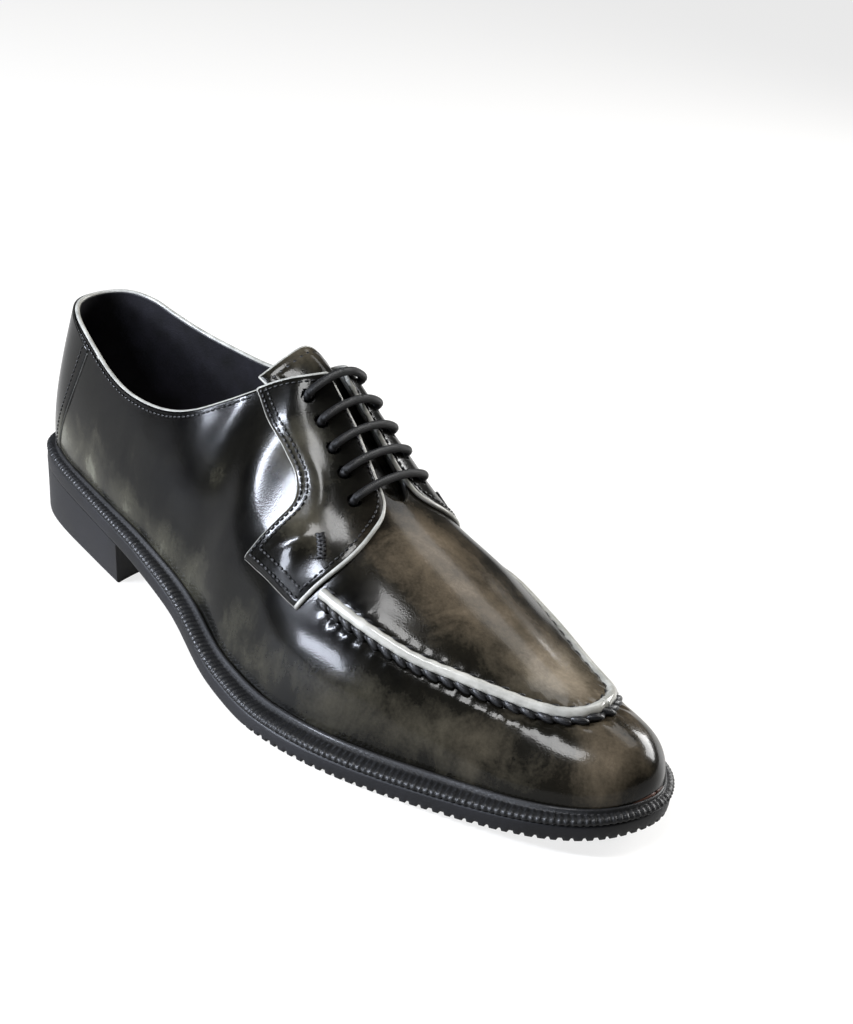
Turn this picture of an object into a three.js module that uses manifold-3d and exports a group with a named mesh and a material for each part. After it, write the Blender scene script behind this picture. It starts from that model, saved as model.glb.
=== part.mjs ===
// Apron derby dress shoe, the right one of a pair, size about 43, in millimetres.
// Heel back to toe tip runs along +X, the big-toe side is +Y and the floor is Z = 0.
// Every piece of leather is worked out from one skin: the outer surface of the lasted upper.
import * as THREE from 'three';
import { mergeVertices, toCreasedNormals } from 'three/addons/utils/BufferGeometryUtils.js';
import Module from 'manifold-3d';

const wasm = await Module();
wasm.setup();

// Driving sizes of the sole
const soleLength = 309;
const ballWidth = 107;
const heelWidth = 67;
const heelHeight = 17.3;
const seatRise = 4.7;
const toeSpring = 8.8;
const outsoleThickness = 6;
const breastShare = 0.254;
const ballStartShare = 0.602;
const ballEndShare = 0.686;
const heelTaper = 2;
const breastHollow = 4;

// Driving sizes of the welt and the footbed
const weltThickness = 1.6;
const weltRise = 2.7;
const weltReach = 7.5;
const footbedThickness = 4;

// Driving sizes of the upper
const instepHeight = 117;
const backHeight = 90;
const upperWall = 2.2;
const facingWall = 1.7;
const stripWall = 1;
const tongueWall = 1.8;
const tongueLength = 61;
const tongueWidth = 32;
const tongueFootWidth = 30;
const tongueShift = 3;
const tongueTopRound = 0.014;
const tongueFreeShare = 0.455;
const tongueSlope = 0.34;
const tongueTuck = 5;
const stripFootHalf = 1.6;
const stripTopHalf = 2.9;
const stripFootShare = 0.055;
const stripTopShare = 0.02;
const lacingGap = 7.4;
const throatGap = 12;
const slotStartShare = 0.4;
const throatShare = 0.6;
const throatRoundShare = 0.02;
const pipingWidth = 4;
const pipingHeight = 2.4;

// Driving sizes of the lacing
const laceDiameter = 3.6;
const eyeletDiameter = 4.8;

// Shares of the way from an eyelet to the ridge at which a bar changes its height
const laceShares = [0, 0.04, 0.45, 0.85];

// Clearance between neighbouring pieces
const fit = 0.3;
const overlayFit = 0.6;

// How finely the pieces are faceted
const loopSteps = 3;
const wallSteps = 8;

// One row for each section of the shoe, from the heel back to the toe tip.
// share: place on the sole, of soleLength. ball: 0 follows heelWidth, 1 follows ballWidth.
// lateral, medial: half widths of the sole, of that width. reach: sole beyond the upper, of weltReach.
// crest: place of the section's top, of soleLength. height: its height, of instepHeight.
// ridge: its shift to the medial side, of ballWidth. gap: half width of the open top, of heelWidth.
// leanL, leanM: outward lean at the welt in degrees. rise: fullness of the lower wall.
// arrive: 0 comes up straight, 90 lies flat over the ridge. crownL, crownM: fullness of the upper wall.
// pitch: slope of the ridge.
const sectionColumns = ['share', 'ball', 'lateral', 'medial', 'reach', 'crest', 'height', 'ridge', 'gap',
  'leanL', 'leanM', 'rise', 'arrive', 'crownL', 'crownM', 'pitch'];
const sectionRows = [
  [0.000, 0.0, 0.000, 0.000, 0.62, 0.037, 0.89, 0.000, 0.000, 1, 1, 0.33, 12, 0.30, 0.30, 0],
  [0.022, 0.0, 0.250, 0.250, 0.56, 0.048, 0.89, 0.000, 0.140, 5, 5, 0.33, 9, 0.33, 0.33, 0],
  [0.085, 0.0, 0.385, 0.388, 0.48, 0.084, 0.89, 0.000, 0.255, 12, 12, 0.33, 2, 0.36, 0.36, 0],
  [0.155, 0.0, 0.455, 0.455, 0.50, 0.145, 0.89, 0.000, 0.306, 14, 14, 0.33, -3, 0.38, 0.38, 0],
  [0.220, 0.0, 0.512, 0.475, 0.56, 0.210, 0.90, 0.000, 0.328, 12, 14, 0.33, -3, 0.36, 0.36, 0],
  [0.285, 0.2, 0.505, 0.407, 0.64, 0.270, 0.92, 0.003, 0.313, 8, 16, 0.33, 0, 0.34, 0.34, 0],
  [0.345, 0.4, 0.495, 0.342, 0.74, 0.330, 0.95, 0.006, 0.250, 5, 18, 0.33, 8, 0.30, 0.31, 0],
  [0.400, 0.6, 0.488, 0.305, 0.82, 0.388, 0.975, 0.028, 0.130, 2, 20, 0.33, 24, 0.27, 0.31, 0],
  [0.450, 0.8, 0.500, 0.302, 0.86, 0.443, 0.943, 0.040, 0.030, 0, 21, 0.31, 60, 0.36, 0.36, -0.4],
  [0.495, 1.0, 0.505, 0.311, 0.86, 0.490, 0.838, 0.047, 0.000, -2, 21, 0.29, 84, 0.52, 0.66, -0.82],
  [0.540, 1.0, 0.532, 0.366, 0.90, 0.538, 0.731, 0.044, 0.000, 0, 20, 0.34, 90, 0.63, 0.78, -0.80],
  [0.590, 1.0, 0.552, 0.415, 0.96, 0.590, 0.626, 0.035, 0.000, 2, 16, 0.38, 90, 0.68, 0.86, -0.66],
  [0.645, 1.0, 0.550, 0.441, 1.00, 0.645, 0.563, 0.024, 0.000, 3, 8, 0.39, 90, 0.73, 0.88, -0.5],
  [0.700, 1.0, 0.522, 0.458, 1.00, 0.699, 0.512, 0.020, 0.000, 3, 5, 0.42, 90, 0.75, 0.86, -0.45],
  [0.760, 1.0, 0.472, 0.449, 1.00, 0.754, 0.450, 0.022, 0.000, 3, 3, 0.43, 90, 0.73, 0.77, -0.4],
  [0.820, 1.0, 0.413, 0.413, 0.98, 0.808, 0.393, 0.027, 0.000, 3, 3, 0.46, 90, 0.64, 0.66, -0.3],
  [0.875, 1.0, 0.356, 0.362, 0.86, 0.853, 0.348, 0.031, 0.000, 4, 4, 0.49, 90, 0.55, 0.58, -0.2],
  [0.925, 1.0, 0.292, 0.308, 0.72, 0.888, 0.328, 0.033, 0.000, 5, 5, 0.50, 90, 0.54, 0.56, -0.18],
  [0.965, 1.0, 0.207, 0.239, 0.58, 0.912, 0.318, 0.034, 0.000, 6, 6, 0.50, 90, 0.58, 0.60, -0.2],
  [0.990, 1.0, 0.098, 0.142, 0.48, 0.926, 0.311, 0.034, 0.000, 7, 7, 0.50, 90, 0.64, 0.64, -0.2],
  [1.000, 1.0, -0.033, 0.033, 0.44, 0.931, 0.308, 0.034, 0.000, 8, 8, 0.50, 90, 0.66, 0.66, -0.2],
];

// Height of the collar line along the shoe, of backHeight, at a share of soleLength.
const collarColumns = ['share', 'lateral', 'medial'];
const collarRows = [
  [0.000, 1.010, 1.010],
  [0.045, 1.000, 1.040],
  [0.090, 0.955, 1.030],
  [0.125, 0.908, 1.000],
  [0.165, 0.856, 0.975],
  [0.210, 0.825, 0.960],
  [0.260, 0.824, 0.957],
  [0.300, 0.848, 0.965],
  [0.335, 0.895, 0.985],
  [0.370, 0.968, 1.020],
  [0.405, 1.050, 1.065],
  [0.445, 1.135, 1.135],
  [0.485, 1.185, 1.185],
];

// Outline of a facing from its top down: shares of soleLength, and of the way from welt to ridge.
const facingColumns = ['rearX', 'rearV', 'frontX', 'frontV'];
const facingRows = [
  [0.408, 0.770, 0.474, 1.000],
  [0.447, 0.710, 0.521, 0.956],
  [0.486, 0.690, 0.562, 0.938],
  [0.514, 0.673, 0.595, 0.914],
  [0.528, 0.625, 0.612, 0.835],
  [0.522, 0.540, 0.617, 0.680],
  [0.499, 0.364, 0.596, 0.418],
];

// Eyelets from the top down: shares of soleLength, and of the way from welt to ridge.
const eyeletColumns = ['x', 'v'];
const eyeletRows = [
  [0.470, 0.860],
  [0.497, 0.849],
  [0.524, 0.836],
  [0.549, 0.832],
  [0.576, 0.818],
];

// Plan of the apron seam from the lateral facing round the toe to the medial facing.
const apronColumns = ['x', 'y'];
const apronRows = [
  [0.616, -0.352],
  [0.660, -0.347],
  [0.700, -0.329],
  [0.740, -0.296],
  [0.780, -0.244],
  [0.824, -0.182],
  [0.866, -0.120],
  [0.890, -0.074],
  [0.903, -0.018],
  [0.905, 0.045],
  [0.899, 0.105],
  [0.887, 0.158],
  [0.864, 0.196],
  [0.815, 0.232],
  [0.737, 0.312],
  [0.668, 0.326],
  [0.613, 0.316],
];

const toRecord = (columns) => (row) => Object.fromEntries(columns.map((name, i) => [name, row[i]]));
const sections = sectionRows.map(toRecord(sectionColumns));
const collar = collarRows.map(toRecord(collarColumns));
const facing = facingRows.map(toRecord(facingColumns));
const eyelets = eyeletRows.map(toRecord(eyeletColumns));
const apron = apronRows.map(toRecord(apronColumns));

const mix = THREE.MathUtils.lerp;
const clamp01 = (value) => THREE.MathUtils.clamp(value, 0, 1);
const radians = THREE.MathUtils.degToRad;

// A smooth closed curve of numbers through the values, one step of t for each value.
function smoothLoop(values) {
  const count = values.length;
  let control = values.slice();
  for (let pass = 0; pass < 40; pass += 1) {
    const last = control;
    const beside = (i) => last[(i + count - 1) % count] + last[(i + 1) % count];
    control = values.map((value, i) => (6 * value - beside(i)) / 4);
  }
  return (t) => bSpline(control, t);
}

// The softer closed curve that the values only steer, which never swings past them.
function steeredLoop(values) {
  return (t) => bSpline(values, t);
}

function bSpline(control, t) {
  const count = control.length;
  const start = Math.floor(t);
  const f = t - start;
  const at = (k) => control[(((start + k) % count) + count) % count];
  const weights = [(1 - f) ** 3, 3 * f ** 3 - 6 * f ** 2 + 4, -3 * f ** 3 + 3 * f ** 2 + 3 * f + 1, f ** 3];
  return weights.reduce((sum, weight, k) => sum + (weight * at(k - 1)) / 6, 0);
}

// A smooth open curve through rows of numbers, read at a knot value.
function smoothRow(knots, values, at) {
  const last = knots.length - 1;
  if (at <= knots[0]) return values[0];
  if (at >= knots[last]) return values[last];
  let i = 0;
  while (knots[i + 1] < at) i += 1;
  const slope = (k) => {
    const a = Math.max(k - 1, 0);
    const b = Math.min(k + 1, last);
    return (values[b] - values[a]) / (knots[b] - knots[a]);
  };
  const span = knots[i + 1] - knots[i];
  const f = (at - knots[i]) / span;
  const h1 = 1 - 3 * f ** 2 + 2 * f ** 3;
  const h2 = f - 2 * f ** 2 + f ** 3;
  const h3 = f ** 3 - f ** 2;
  return h1 * values[i] + (1 - h1) * values[i + 1] + span * (h2 * slope(i) + h3 * slope(i + 1));
}

// The loop runs heel, lateral side, toe, medial side: t counts its rows.
const toeIndex = sections.length - 1;
const loopCount = 2 * toeIndex;
const sideRow = (i) => (i <= toeIndex ? sections[i] : sections[loopCount - i]);
const loopRows = Array.from({ length: loopCount }, (_, i) => ({ ...sideRow(i), medialSide: i > toeIndex }));
const sideValue = (row, lateralName, medialName) => (row.medialSide ? row[medialName] : row[lateralName]);
const halfWidth = (row) => mix(heelWidth, ballWidth, row.ball) * sideValue(row, 'lateral', 'medial');

const soleX = smoothLoop(loopRows.map((row) => soleLength * row.share));
const soleY = smoothLoop(loopRows.map((row) => (row.medialSide ? 1 : -1) * halfWidth(row)));
const reachAt = smoothLoop(loopRows.map((row) => weltReach * row.reach));
const crestX = smoothLoop(loopRows.map((row) => soleLength * row.crest));
const crestZ = smoothLoop(loopRows.map((row) => instepHeight * row.height));
const ridgeY = smoothLoop(loopRows.map((row) => ballWidth * row.ridge));
const gapY = steeredLoop(loopRows.map((row) => (row.medialSide ? 1 : -1) * heelWidth * row.gap));
const leanAt = smoothLoop(loopRows.map((row) => sideValue(row, 'leanL', 'leanM')));
const riseAt = smoothLoop(loopRows.map((row) => row.rise));
const arriveAt = smoothLoop(loopRows.map((row) => row.arrive));
const crownAt = smoothLoop(loopRows.map((row) => sideValue(row, 'crownL', 'crownM')));
const pitchAt = smoothLoop(loopRows.map((row) => row.pitch));

// Underside of the outsole: level at the ball, up to the heel seat and up to the toe.
function soleBottom(x) {
  const breast = breastShare * soleLength;
  const ballStart = ballStartShare * soleLength;
  const ballEnd = ballEndShare * soleLength;
  if (x < breast) return heelHeight + seatRise * (1 - x / breast);
  if (x < ballStart) {
    const f = (x - breast) / (ballStart - breast);
    const start = (seatRise * (ballStart - breast)) / breast;
    const blend = 1 - 3 * f ** 2 + 2 * f ** 3;
    return heelHeight * blend - start * (f - 2 * f ** 2 + f ** 3);
  }
  if (x < ballEnd) return 0;
  return toeSpring * ((x - ballEnd) / (soleLength - ballEnd)) ** 2;
}

// A point of the sole's edge at t, moved inwards in plan.
function edgePoint(t, inset) {
  const step = 0.02;
  const dx = soleX(t + step) - soleX(t - step);
  const dy = soleY(t + step) - soleY(t - step);
  const length = Math.hypot(dx, dy);
  return new THREE.Vector2(soleX(t) - (inset * dy) / length, soleY(t) + (inset * dx) / length);
}

const upperSeat = outsoleThickness + weltThickness + 3 * fit;

// The skin: v = 0 at the welt, v = 1 on the ridge or at the open top of the last.
function skin(t, v) {
  const foot = edgePoint(t, reachAt(t));
  const low = new THREE.Vector3(foot.x, foot.y, soleBottom(foot.x) + upperSeat);
  const top = new THREE.Vector3(crestX(t), ridgeY(t) + gapY(t), crestZ(t));
  const inward = new THREE.Vector3(top.x - low.x, top.y - low.y, 0).normalize();
  const over = inward.clone().setZ(inward.x * pitchAt(t)).normalize();
  const angle = radians(arriveAt(t));
  const straightUp = new THREE.Vector3(0, 0, Math.cos(angle));
  const arrive = over.multiplyScalar(Math.sin(angle)).add(straightUp).normalize();
  const height = top.z - low.z;
  const lean = Math.tan(radians(leanAt(t)));
  const lower = low.clone().addScaledVector(inward, -lean * riseAt(t) * height);
  lower.z += riseAt(t) * height;
  const drop = top.clone().sub(low).dot(arrive) * crownAt(t);
  const upper = top.clone().addScaledVector(arrive, -drop);
  const w = 1 - v;
  return low.multiplyScalar(w ** 3)
    .addScaledVector(lower, 3 * w * w * v)
    .addScaledVector(upper, 3 * w * v * v)
    .addScaledVector(top, v ** 3);
}

const isRidge = (t) => Math.abs(gapY(t)) < 0.02;

// A point standing off the skin, along its outward normal.
function offSkin(t, v, offset) {
  const step = 0.004;
  const v1 = Math.min(v + step, 1);
  const v0 = Math.max(v - step, 0);
  const up = skin(t, v1).sub(skin(t, v0));
  const along = skin(t + step, v).sub(skin(t - step, v));
  const normal = along.cross(up).normalize();
  if (v > 1 - 1e-6 && isRidge(t)) normal.setY(0).normalize();
  return skin(t, v).addScaledVector(normal, offset);
}

const collarKnots = collar.map((row) => row.share);
const collarSide = (medialSide) => collar.map((row) => (medialSide ? row.medial : row.lateral));
const collarHeight = (x, medialSide) => (
  backHeight * smoothRow(collarKnots, collarSide(medialSide), x / soleLength));
const throatX = throatShare * soleLength;
const throatRound = throatRoundShare * soleLength;
const slotStartX = slotStartShare * soleLength;
const slotShare = (x) => clamp01((x - slotStartX) / (throatX - slotStartX));
const slotHalf = (x) => (mix(lacingGap, throatGap, slotShare(x) ** 2) / 2)
  * Math.sqrt(clamp01((throatX - x) / throatRound));
const collarEndX = collar[collar.length - 1].share * soleLength;

// How far a point of the skin lies beyond the cut edge of the leather.
function beyondEdge(t, v) {
  const point = skin(t, v);
  const medialSide = t > toeIndex;
  const overCollar = point.x < collarEndX ? point.z - collarHeight(point.x, medialSide) : -1;
  const slotted = point.x > slotStartX && point.x < throatX;
  const inSlot = slotted ? slotHalf(point.x) - Math.abs(point.y - ridgeY(t)) : -1;
  return Math.max(overCollar, inSlot);
}

// The share of the wall at which the cut edge of collar and lacing gap comes.
function edgeShare(t) {
  let low = 0.3;
  while (low < 1 && beyondEdge(t, low) < 0) low += 0.01;
  if (low >= 1) return 1;
  let high = low;
  low -= 0.01;
  for (let pass = 0; pass < 24; pass += 1) {
    const middle = (low + high) / 2;
    if (beyondEdge(t, middle) < 0) low = middle;
    else high = middle;
  }
  return low;
}

// The t and v of the skin over a place in plan, found by stepping towards it.
function seat(x, y) {
  let t = y < ridgeY(loopCount - 10) ? 13 : loopCount - 13;
  let v = 0.6;
  for (let pass = 0; pass < 60; pass += 1) {
    const here = skin(t, v);
    const byT = skin(t + 0.01, v).sub(here).multiplyScalar(100);
    const byV = skin(t, v + 0.002).sub(here).multiplyScalar(500);
    const det = byT.x * byV.y - byT.y * byV.x;
    const dx = x - here.x;
    const dy = y - here.y;
    const stepT = (dx * byV.y - dy * byV.x) / det;
    const stepV = (byT.x * dy - byT.y * dx) / det;
    t += THREE.MathUtils.clamp(stepT, -0.5, 0.5);
    v = THREE.MathUtils.clamp(v + THREE.MathUtils.clamp(stepV, -0.1, 0.1), 0.02, 0.999);
  }
  return { t, v };
}

// A closed body from a grid of points: rows by columns, each row one closed ring.
function ringBody(rings, closed) {
  const count = rings[0].length;
  const positions = rings.flat().flatMap((point) => [point.x, point.y, point.z]);
  const index = [];
  const rows = closed ? rings.length : rings.length - 1;
  for (let i = 0; i < rows; i += 1) {
    for (let j = 0; j < count; j += 1) {
      const a = i * count + j;
      const b = i * count + ((j + 1) % count);
      const c = ((i + 1) % rings.length) * count + ((j + 1) % count);
      const d = ((i + 1) % rings.length) * count + j;
      index.push(a, b, c, a, c, d);
    }
  }
  if (!closed) {
    const end = (rings.length - 1) * count;
    for (let j = 1; j < count - 1; j += 1) {
      index.push(0, j + 1, j, end, end + j, end + j + 1);
    }
  }
  return makeGeometry(positions, index);
}

function makeGeometry(positions, index) {
  const geometry = new THREE.BufferGeometry();
  geometry.setAttribute('position', new THREE.Float32BufferAttribute(positions, 3));
  geometry.setIndex(index);
  const welded = mergeVertices(geometry, 1e-4);
  const corners = welded.index.array;
  const kept = [];
  for (let i = 0; i < corners.length; i += 3) {
    const [a, b, c] = [corners[i], corners[i + 1], corners[i + 2]];
    if (a !== b && b !== c && c !== a) kept.push(a, b, c);
  }
  welded.setIndex(kept);
  return welded;
}

// A closed sheet from two grids of points, the outer and the inner skin of a panel.
function panelBody(outer, inner) {
  const rows = outer.length;
  const columns = outer[0].length;
  const end = columns - 1;
  const positions = [...outer.flat(), ...inner.flat()].flatMap((point) => [point.x, point.y, point.z]);
  const index = [];
  const at = (i, j, side) => side * rows * columns + i * columns + j;
  const quad = (a, b, c, d) => index.push(a, b, c, a, c, d);
  for (let i = 0; i < rows - 1; i += 1) {
    for (let j = 0; j < columns - 1; j += 1) {
      quad(at(i, j, 0), at(i + 1, j, 0), at(i + 1, j + 1, 0), at(i, j + 1, 0));
      quad(at(i, j, 1), at(i, j + 1, 1), at(i + 1, j + 1, 1), at(i + 1, j, 1));
    }
  }
  for (let i = 0; i < rows - 1; i += 1) {
    quad(at(i, 0, 0), at(i, 0, 1), at(i + 1, 0, 1), at(i + 1, 0, 0));
    quad(at(i, end, 0), at(i + 1, end, 0), at(i + 1, end, 1), at(i, end, 1));
  }
  for (let j = 0; j < columns - 1; j += 1) {
    quad(at(0, j, 0), at(0, j + 1, 0), at(0, j + 1, 1), at(0, j, 1));
    quad(at(rows - 1, j, 0), at(rows - 1, j, 1), at(rows - 1, j + 1, 1), at(rows - 1, j + 1, 0));
  }
  return makeGeometry(positions, index);
}

function toSolid(geometry) {
  const vertProperties = new Float32Array(geometry.attributes.position.array);
  const triVerts = new Uint32Array(geometry.index.array);
  return new wasm.Manifold(new wasm.Mesh({ numProp: 3, vertProperties, triVerts }));
}

// The solid with its faces pointing out, whichever way its grids were wound.
function outward(geometry) {
  const solid = toSolid(geometry);
  if (solid.volume() > 0) return solid;
  const corners = Array.from(geometry.index.array);
  for (let i = 0; i < corners.length; i += 3) {
    corners.splice(i, 3, corners[i], corners[i + 2], corners[i + 1]);
  }
  geometry.setIndex(corners);
  return toSolid(geometry);
}

function toGeometry(solid) {
  const mesh = solid.getMesh();
  const geometry = new THREE.BufferGeometry();
  const positions = [];
  for (let i = 0; i < mesh.numVert; i += 1) {
    for (let k = 0; k < 3; k += 1) positions.push(mesh.vertProperties[i * mesh.numProp + k]);
  }
  geometry.setAttribute('position', new THREE.Float32BufferAttribute(positions, 3));
  geometry.setIndex(Array.from(mesh.triVerts));
  return geometry;
}

const shoe = new THREE.Group();

function addPiece(name, solid, material) {
  const geometry = toCreasedNormals(toGeometry(solid), radians(35));
  const mesh = new THREE.Mesh(mergeVertices(geometry), material);
  mesh.name = name;
  shoe.add(mesh);
}

// Materials
const patinaCalf = new THREE.MeshStandardMaterial({ color: '#45413a', roughness: 0.22, metalness: 0 });
const paleEdge = new THREE.MeshStandardMaterial({ color: '#a3a29b', roughness: 0.4, metalness: 0 });
const weltLeather = new THREE.MeshStandardMaterial({ color: '#17171a', roughness: 0.45, metalness: 0 });
const soleRubber = new THREE.MeshStandardMaterial({ color: '#55565b', roughness: 0.5, metalness: 0 });
const footbedLeather = new THREE.MeshStandardMaterial({ color: '#4a2a1a', roughness: 0.55, metalness: 0 });
const laceCotton = new THREE.MeshStandardMaterial({ color: '#1c1c1d', roughness: 0.6, metalness: 0 });

const loopPlaces = Array.from({ length: loopCount * loopSteps }, (_, i) => i / loopSteps);

// A slab that follows the sole's outline between two heights above the underside.
function soleSlab(insetAt, from, to) {
  const columns = 4;
  const layer = (height) => Array.from({ length: toeIndex * loopSteps + 1 }, (_, i) => {
    const t = i / loopSteps;
    const left = edgePoint(t, insetAt(t));
    const right = edgePoint((loopCount - t) % loopCount, insetAt((loopCount - t) % loopCount));
    return Array.from({ length: columns }, (_unused, j) => {
      const place = left.clone().lerp(right, j / (columns - 1));
      return new THREE.Vector3(place.x, place.y, soleBottom(place.x) + height);
    });
  });
  return outward(panelBody(layer(to), layer(from)));
}

function outsole() {
  return soleSlab(() => 0, 0, outsoleThickness);
}

function footbed() {
  const inset = (t) => reachAt(t) + upperWall + 2 * fit;
  return soleSlab(inset, outsoleThickness + fit, outsoleThickness + fit + footbedThickness);
}

// The welt: flat at its edge, rising to the upper, with a ledge that carries the upper's wall.
function welt() {
  const under = outsoleThickness + fit;
  const rings = loopPlaces.map((t) => {
    const reach = reachAt(t);
    const crest = reach - 3 * fit;
    const inner = reach + upperWall + fit;
    const section = [
      [0, under],
      [0, under + weltThickness],
      [crest, under + weltThickness + weltRise],
      [crest, upperSeat - fit],
      [inner, upperSeat - fit],
      [inner, under],
    ];
    return section.map(([inset, height]) => {
      const place = edgePoint(t, inset);
      return new THREE.Vector3(place.x, place.y, soleBottom(place.x) + height);
    });
  });
  return outward(ringBody(rings, true));
}

// The heel: the sole's outline drawn in towards the floor, with a hollowed breast.
function heelBlock() {
  const breast = breastShare * soleLength;
  const steps = 12;
  const columns = 5;
  let tBreast = 0;
  while (soleX(tBreast) < breast) tBreast += 0.01;
  const layer = (inset, heightAt) => Array.from({ length: steps + 1 }, (_, i) => {
    const t = tBreast * (i / steps) ** 1.6;
    const left = edgePoint(t, inset);
    const right = edgePoint((loopCount - t) % loopCount, inset);
    return Array.from({ length: columns }, (_unused, j) => {
      const across = j / (columns - 1);
      const place = left.clone().lerp(right, across);
      const x = place.x - (i / steps) * breastHollow * 4 * across * (1 - across);
      return new THREE.Vector3(x, place.y, heightAt(x));
    });
  });
  return outward(panelBody(layer(0.5, (x) => soleBottom(x) - fit), layer(heelTaper, () => 0)));
}

// The hollow upper: two skins a wall apart, joined at the welt, the collar and the lacing gap,
// and closed over the ridge from the throat to the toe.
function upper() {
  const shares = loopPlaces.map(edgeShare);
  const count = loopPlaces.length;
  const grid = (offset) => loopPlaces.map((t, i) => Array.from({ length: wallSteps + 1 },
    (_, j) => offSkin(t, (shares[i] * j) / wallSteps, offset)));
  const layers = [grid(0), grid(-upperWall)];
  for (let i = 1; i < count / 2; i += 1) {
    if (shares[i] < 1) continue;
    layers.forEach((layer) => layer[count - i][wallSteps].copy(layer[i][wallSteps]));
  }
  const positions = layers.flat(2).flatMap((point) => [point.x, point.y, point.z]);
  const at = (i, j, side) => side * count * (wallSteps + 1) + (i % count) * (wallSteps + 1) + j;
  const index = [];
  const quad = (a, b, c, d) => index.push(a, b, c, a, c, d);
  for (let i = 0; i < count; i += 1) {
    for (let j = 0; j < wallSteps; j += 1) {
      quad(at(i, j, 0), at(i + 1, j, 0), at(i + 1, j + 1, 0), at(i, j + 1, 0));
      quad(at(i, j, 1), at(i, j + 1, 1), at(i + 1, j + 1, 1), at(i + 1, j, 1));
    }
    quad(at(i, 0, 0), at(i, 0, 1), at(i + 1, 0, 1), at(i + 1, 0, 0));
    const next = i + 1;
    const open = shares[i] < 1 || shares[next % count] < 1;
    if (open) quad(at(i, wallSteps, 0), at(next, wallSteps, 0), at(next, wallSteps, 1), at(i, wallSteps, 1));
  }
  return outward(makeGeometry(positions, index));
}

// The t of the skin at a distance from the heel, on the lateral (-1) or the medial (1) side.
function stationAt(x, v, side) {
  let near = 5;
  let far = 13;
  const place = (t) => (side < 0 ? t : loopCount - t);
  for (let pass = 0; pass < 30; pass += 1) {
    const middle = (near + far) / 2;
    if (skin(place(middle), v).x < x) near = middle;
    else far = middle;
  }
  return place(near);
}

// One facing: a panel ruled between its rear and front edges, with its top on the collar line.
function facingPanel(side) {
  const rows = 12;
  const columns = 7;
  const knots = facing.map((_, i) => i / (facing.length - 1));
  const read = (name, at) => smoothRow(knots, facing.map((row) => row[name]), at);
  const edge = (at, start) => {
    const v = Math.min(read(`${start}V`, at), 0.999);
    const t = stationAt(soleLength * read(`${start}X`, at), v, side);
    const edgeV = edgeShare(t);
    return v < edgeV ? { t, v } : { t: stationAt(soleLength * read(`${start}X`, at), edgeV, side), v: edgeV };
  };
  const places = Array.from({ length: rows + 1 }, (_, i) => {
    const at = i / rows;
    const rear = edge(at, 'rear');
    const front = edge(at, 'front');
    return Array.from({ length: columns + 1 }, (_unused, j) => {
      const b = j / columns;
      return { t: mix(rear.t, front.t, b), v: mix(rear.v, front.v, b) };
    });
  });
  const pull = places[0].map(({ t, v }) => edgeShare(t) - v);
  const layer = (offset) => places.map((row, i) => row.map(({ t, v }, j) => (
    offSkin(t, Math.min(v + pull[j] * (1 - i / rows) ** 2, edgeShare(t)), offset))));
  return outward(panelBody(layer(overlayFit + facingWall), layer(overlayFit)));
}

// A round punch through a facing, square to the skin.
function eyeletPunch({ x, v }, side) {
  const t = stationAt(x * soleLength, v, side);
  const from = offSkin(t, v, 0.05);
  const to = offSkin(t, v, facingWall + 2);
  const punch = new THREE.CylinderGeometry(eyeletDiameter / 2, eyeletDiameter / 2, from.distanceTo(to), 12);
  const turn = new THREE.Quaternion().setFromUnitVectors(
    new THREE.Vector3(0, 1, 0), to.clone().sub(from).normalize());
  punch.applyQuaternion(turn);
  punch.translate(...from.add(to).multiplyScalar(0.5).toArray());
  punch.deleteAttribute('normal');
  punch.deleteAttribute('uv');
  return toSolid(mergeVertices(punch, 1e-4));
}

function facingWithEyelets(side) {
  return eyelets.reduce((solid, eyelet) => solid.subtract(eyeletPunch(eyelet, side)), facingPanel(side));
}

// The strip that covers the back seam, wider at the collar than at the welt.
function backStrip() {
  const rows = 12;
  const columns = 7;
  const layer = (offset) => Array.from({ length: rows + 1 }, (_, i) => (
    Array.from({ length: columns + 1 }, (_unused, j) => {
      const across = (2 * i) / rows - 1;
      const rough = across * stripTopHalf;
      const top = edgeShare((rough + loopCount) % loopCount) - stripTopShare;
      const v = mix(stripFootShare, top, j / columns);
      const half = mix(stripFootHalf, stripTopHalf, v);
      return offSkin((across * half + loopCount) % loopCount, v, offset);
    })));
  return outward(panelBody(layer(overlayFit + stripWall), layer(overlayFit)));
}

// The tongue: a strip under the ridge from below the throat, straight where it stands above the facings.
function tongue() {
  const rows = 10;
  const columns = 10;
  const bottomX = throatX + tongueTuck;
  const freeX = tongueFreeShare * soleLength;
  const layer = (offset) => Array.from({ length: rows + 1 }, (_, i) => {
    const along = i / rows;
    return Array.from({ length: columns + 1 }, (_unused, j) => {
      const across = (2 * j) / columns - 1;
      const y = (across * mix(tongueFootWidth, tongueWidth, along)) / 2;
      const topX = bottomX - tongueLength - tongueTopRound * y * y;
      const x = mix(bottomX, topX, along);
      const place = seat(Math.max(x, freeX), tongueShift + y);
      const point = offSkin(place.t, place.v, offset);
      const free = Math.max(freeX - x, 0);
      return point.add(new THREE.Vector3(-free, 0, free * tongueSlope));
    });
  });
  const under = upperWall + 4 * fit;
  return outward(panelBody(layer(-under), layer(-under - tongueWall)));
}

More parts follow.
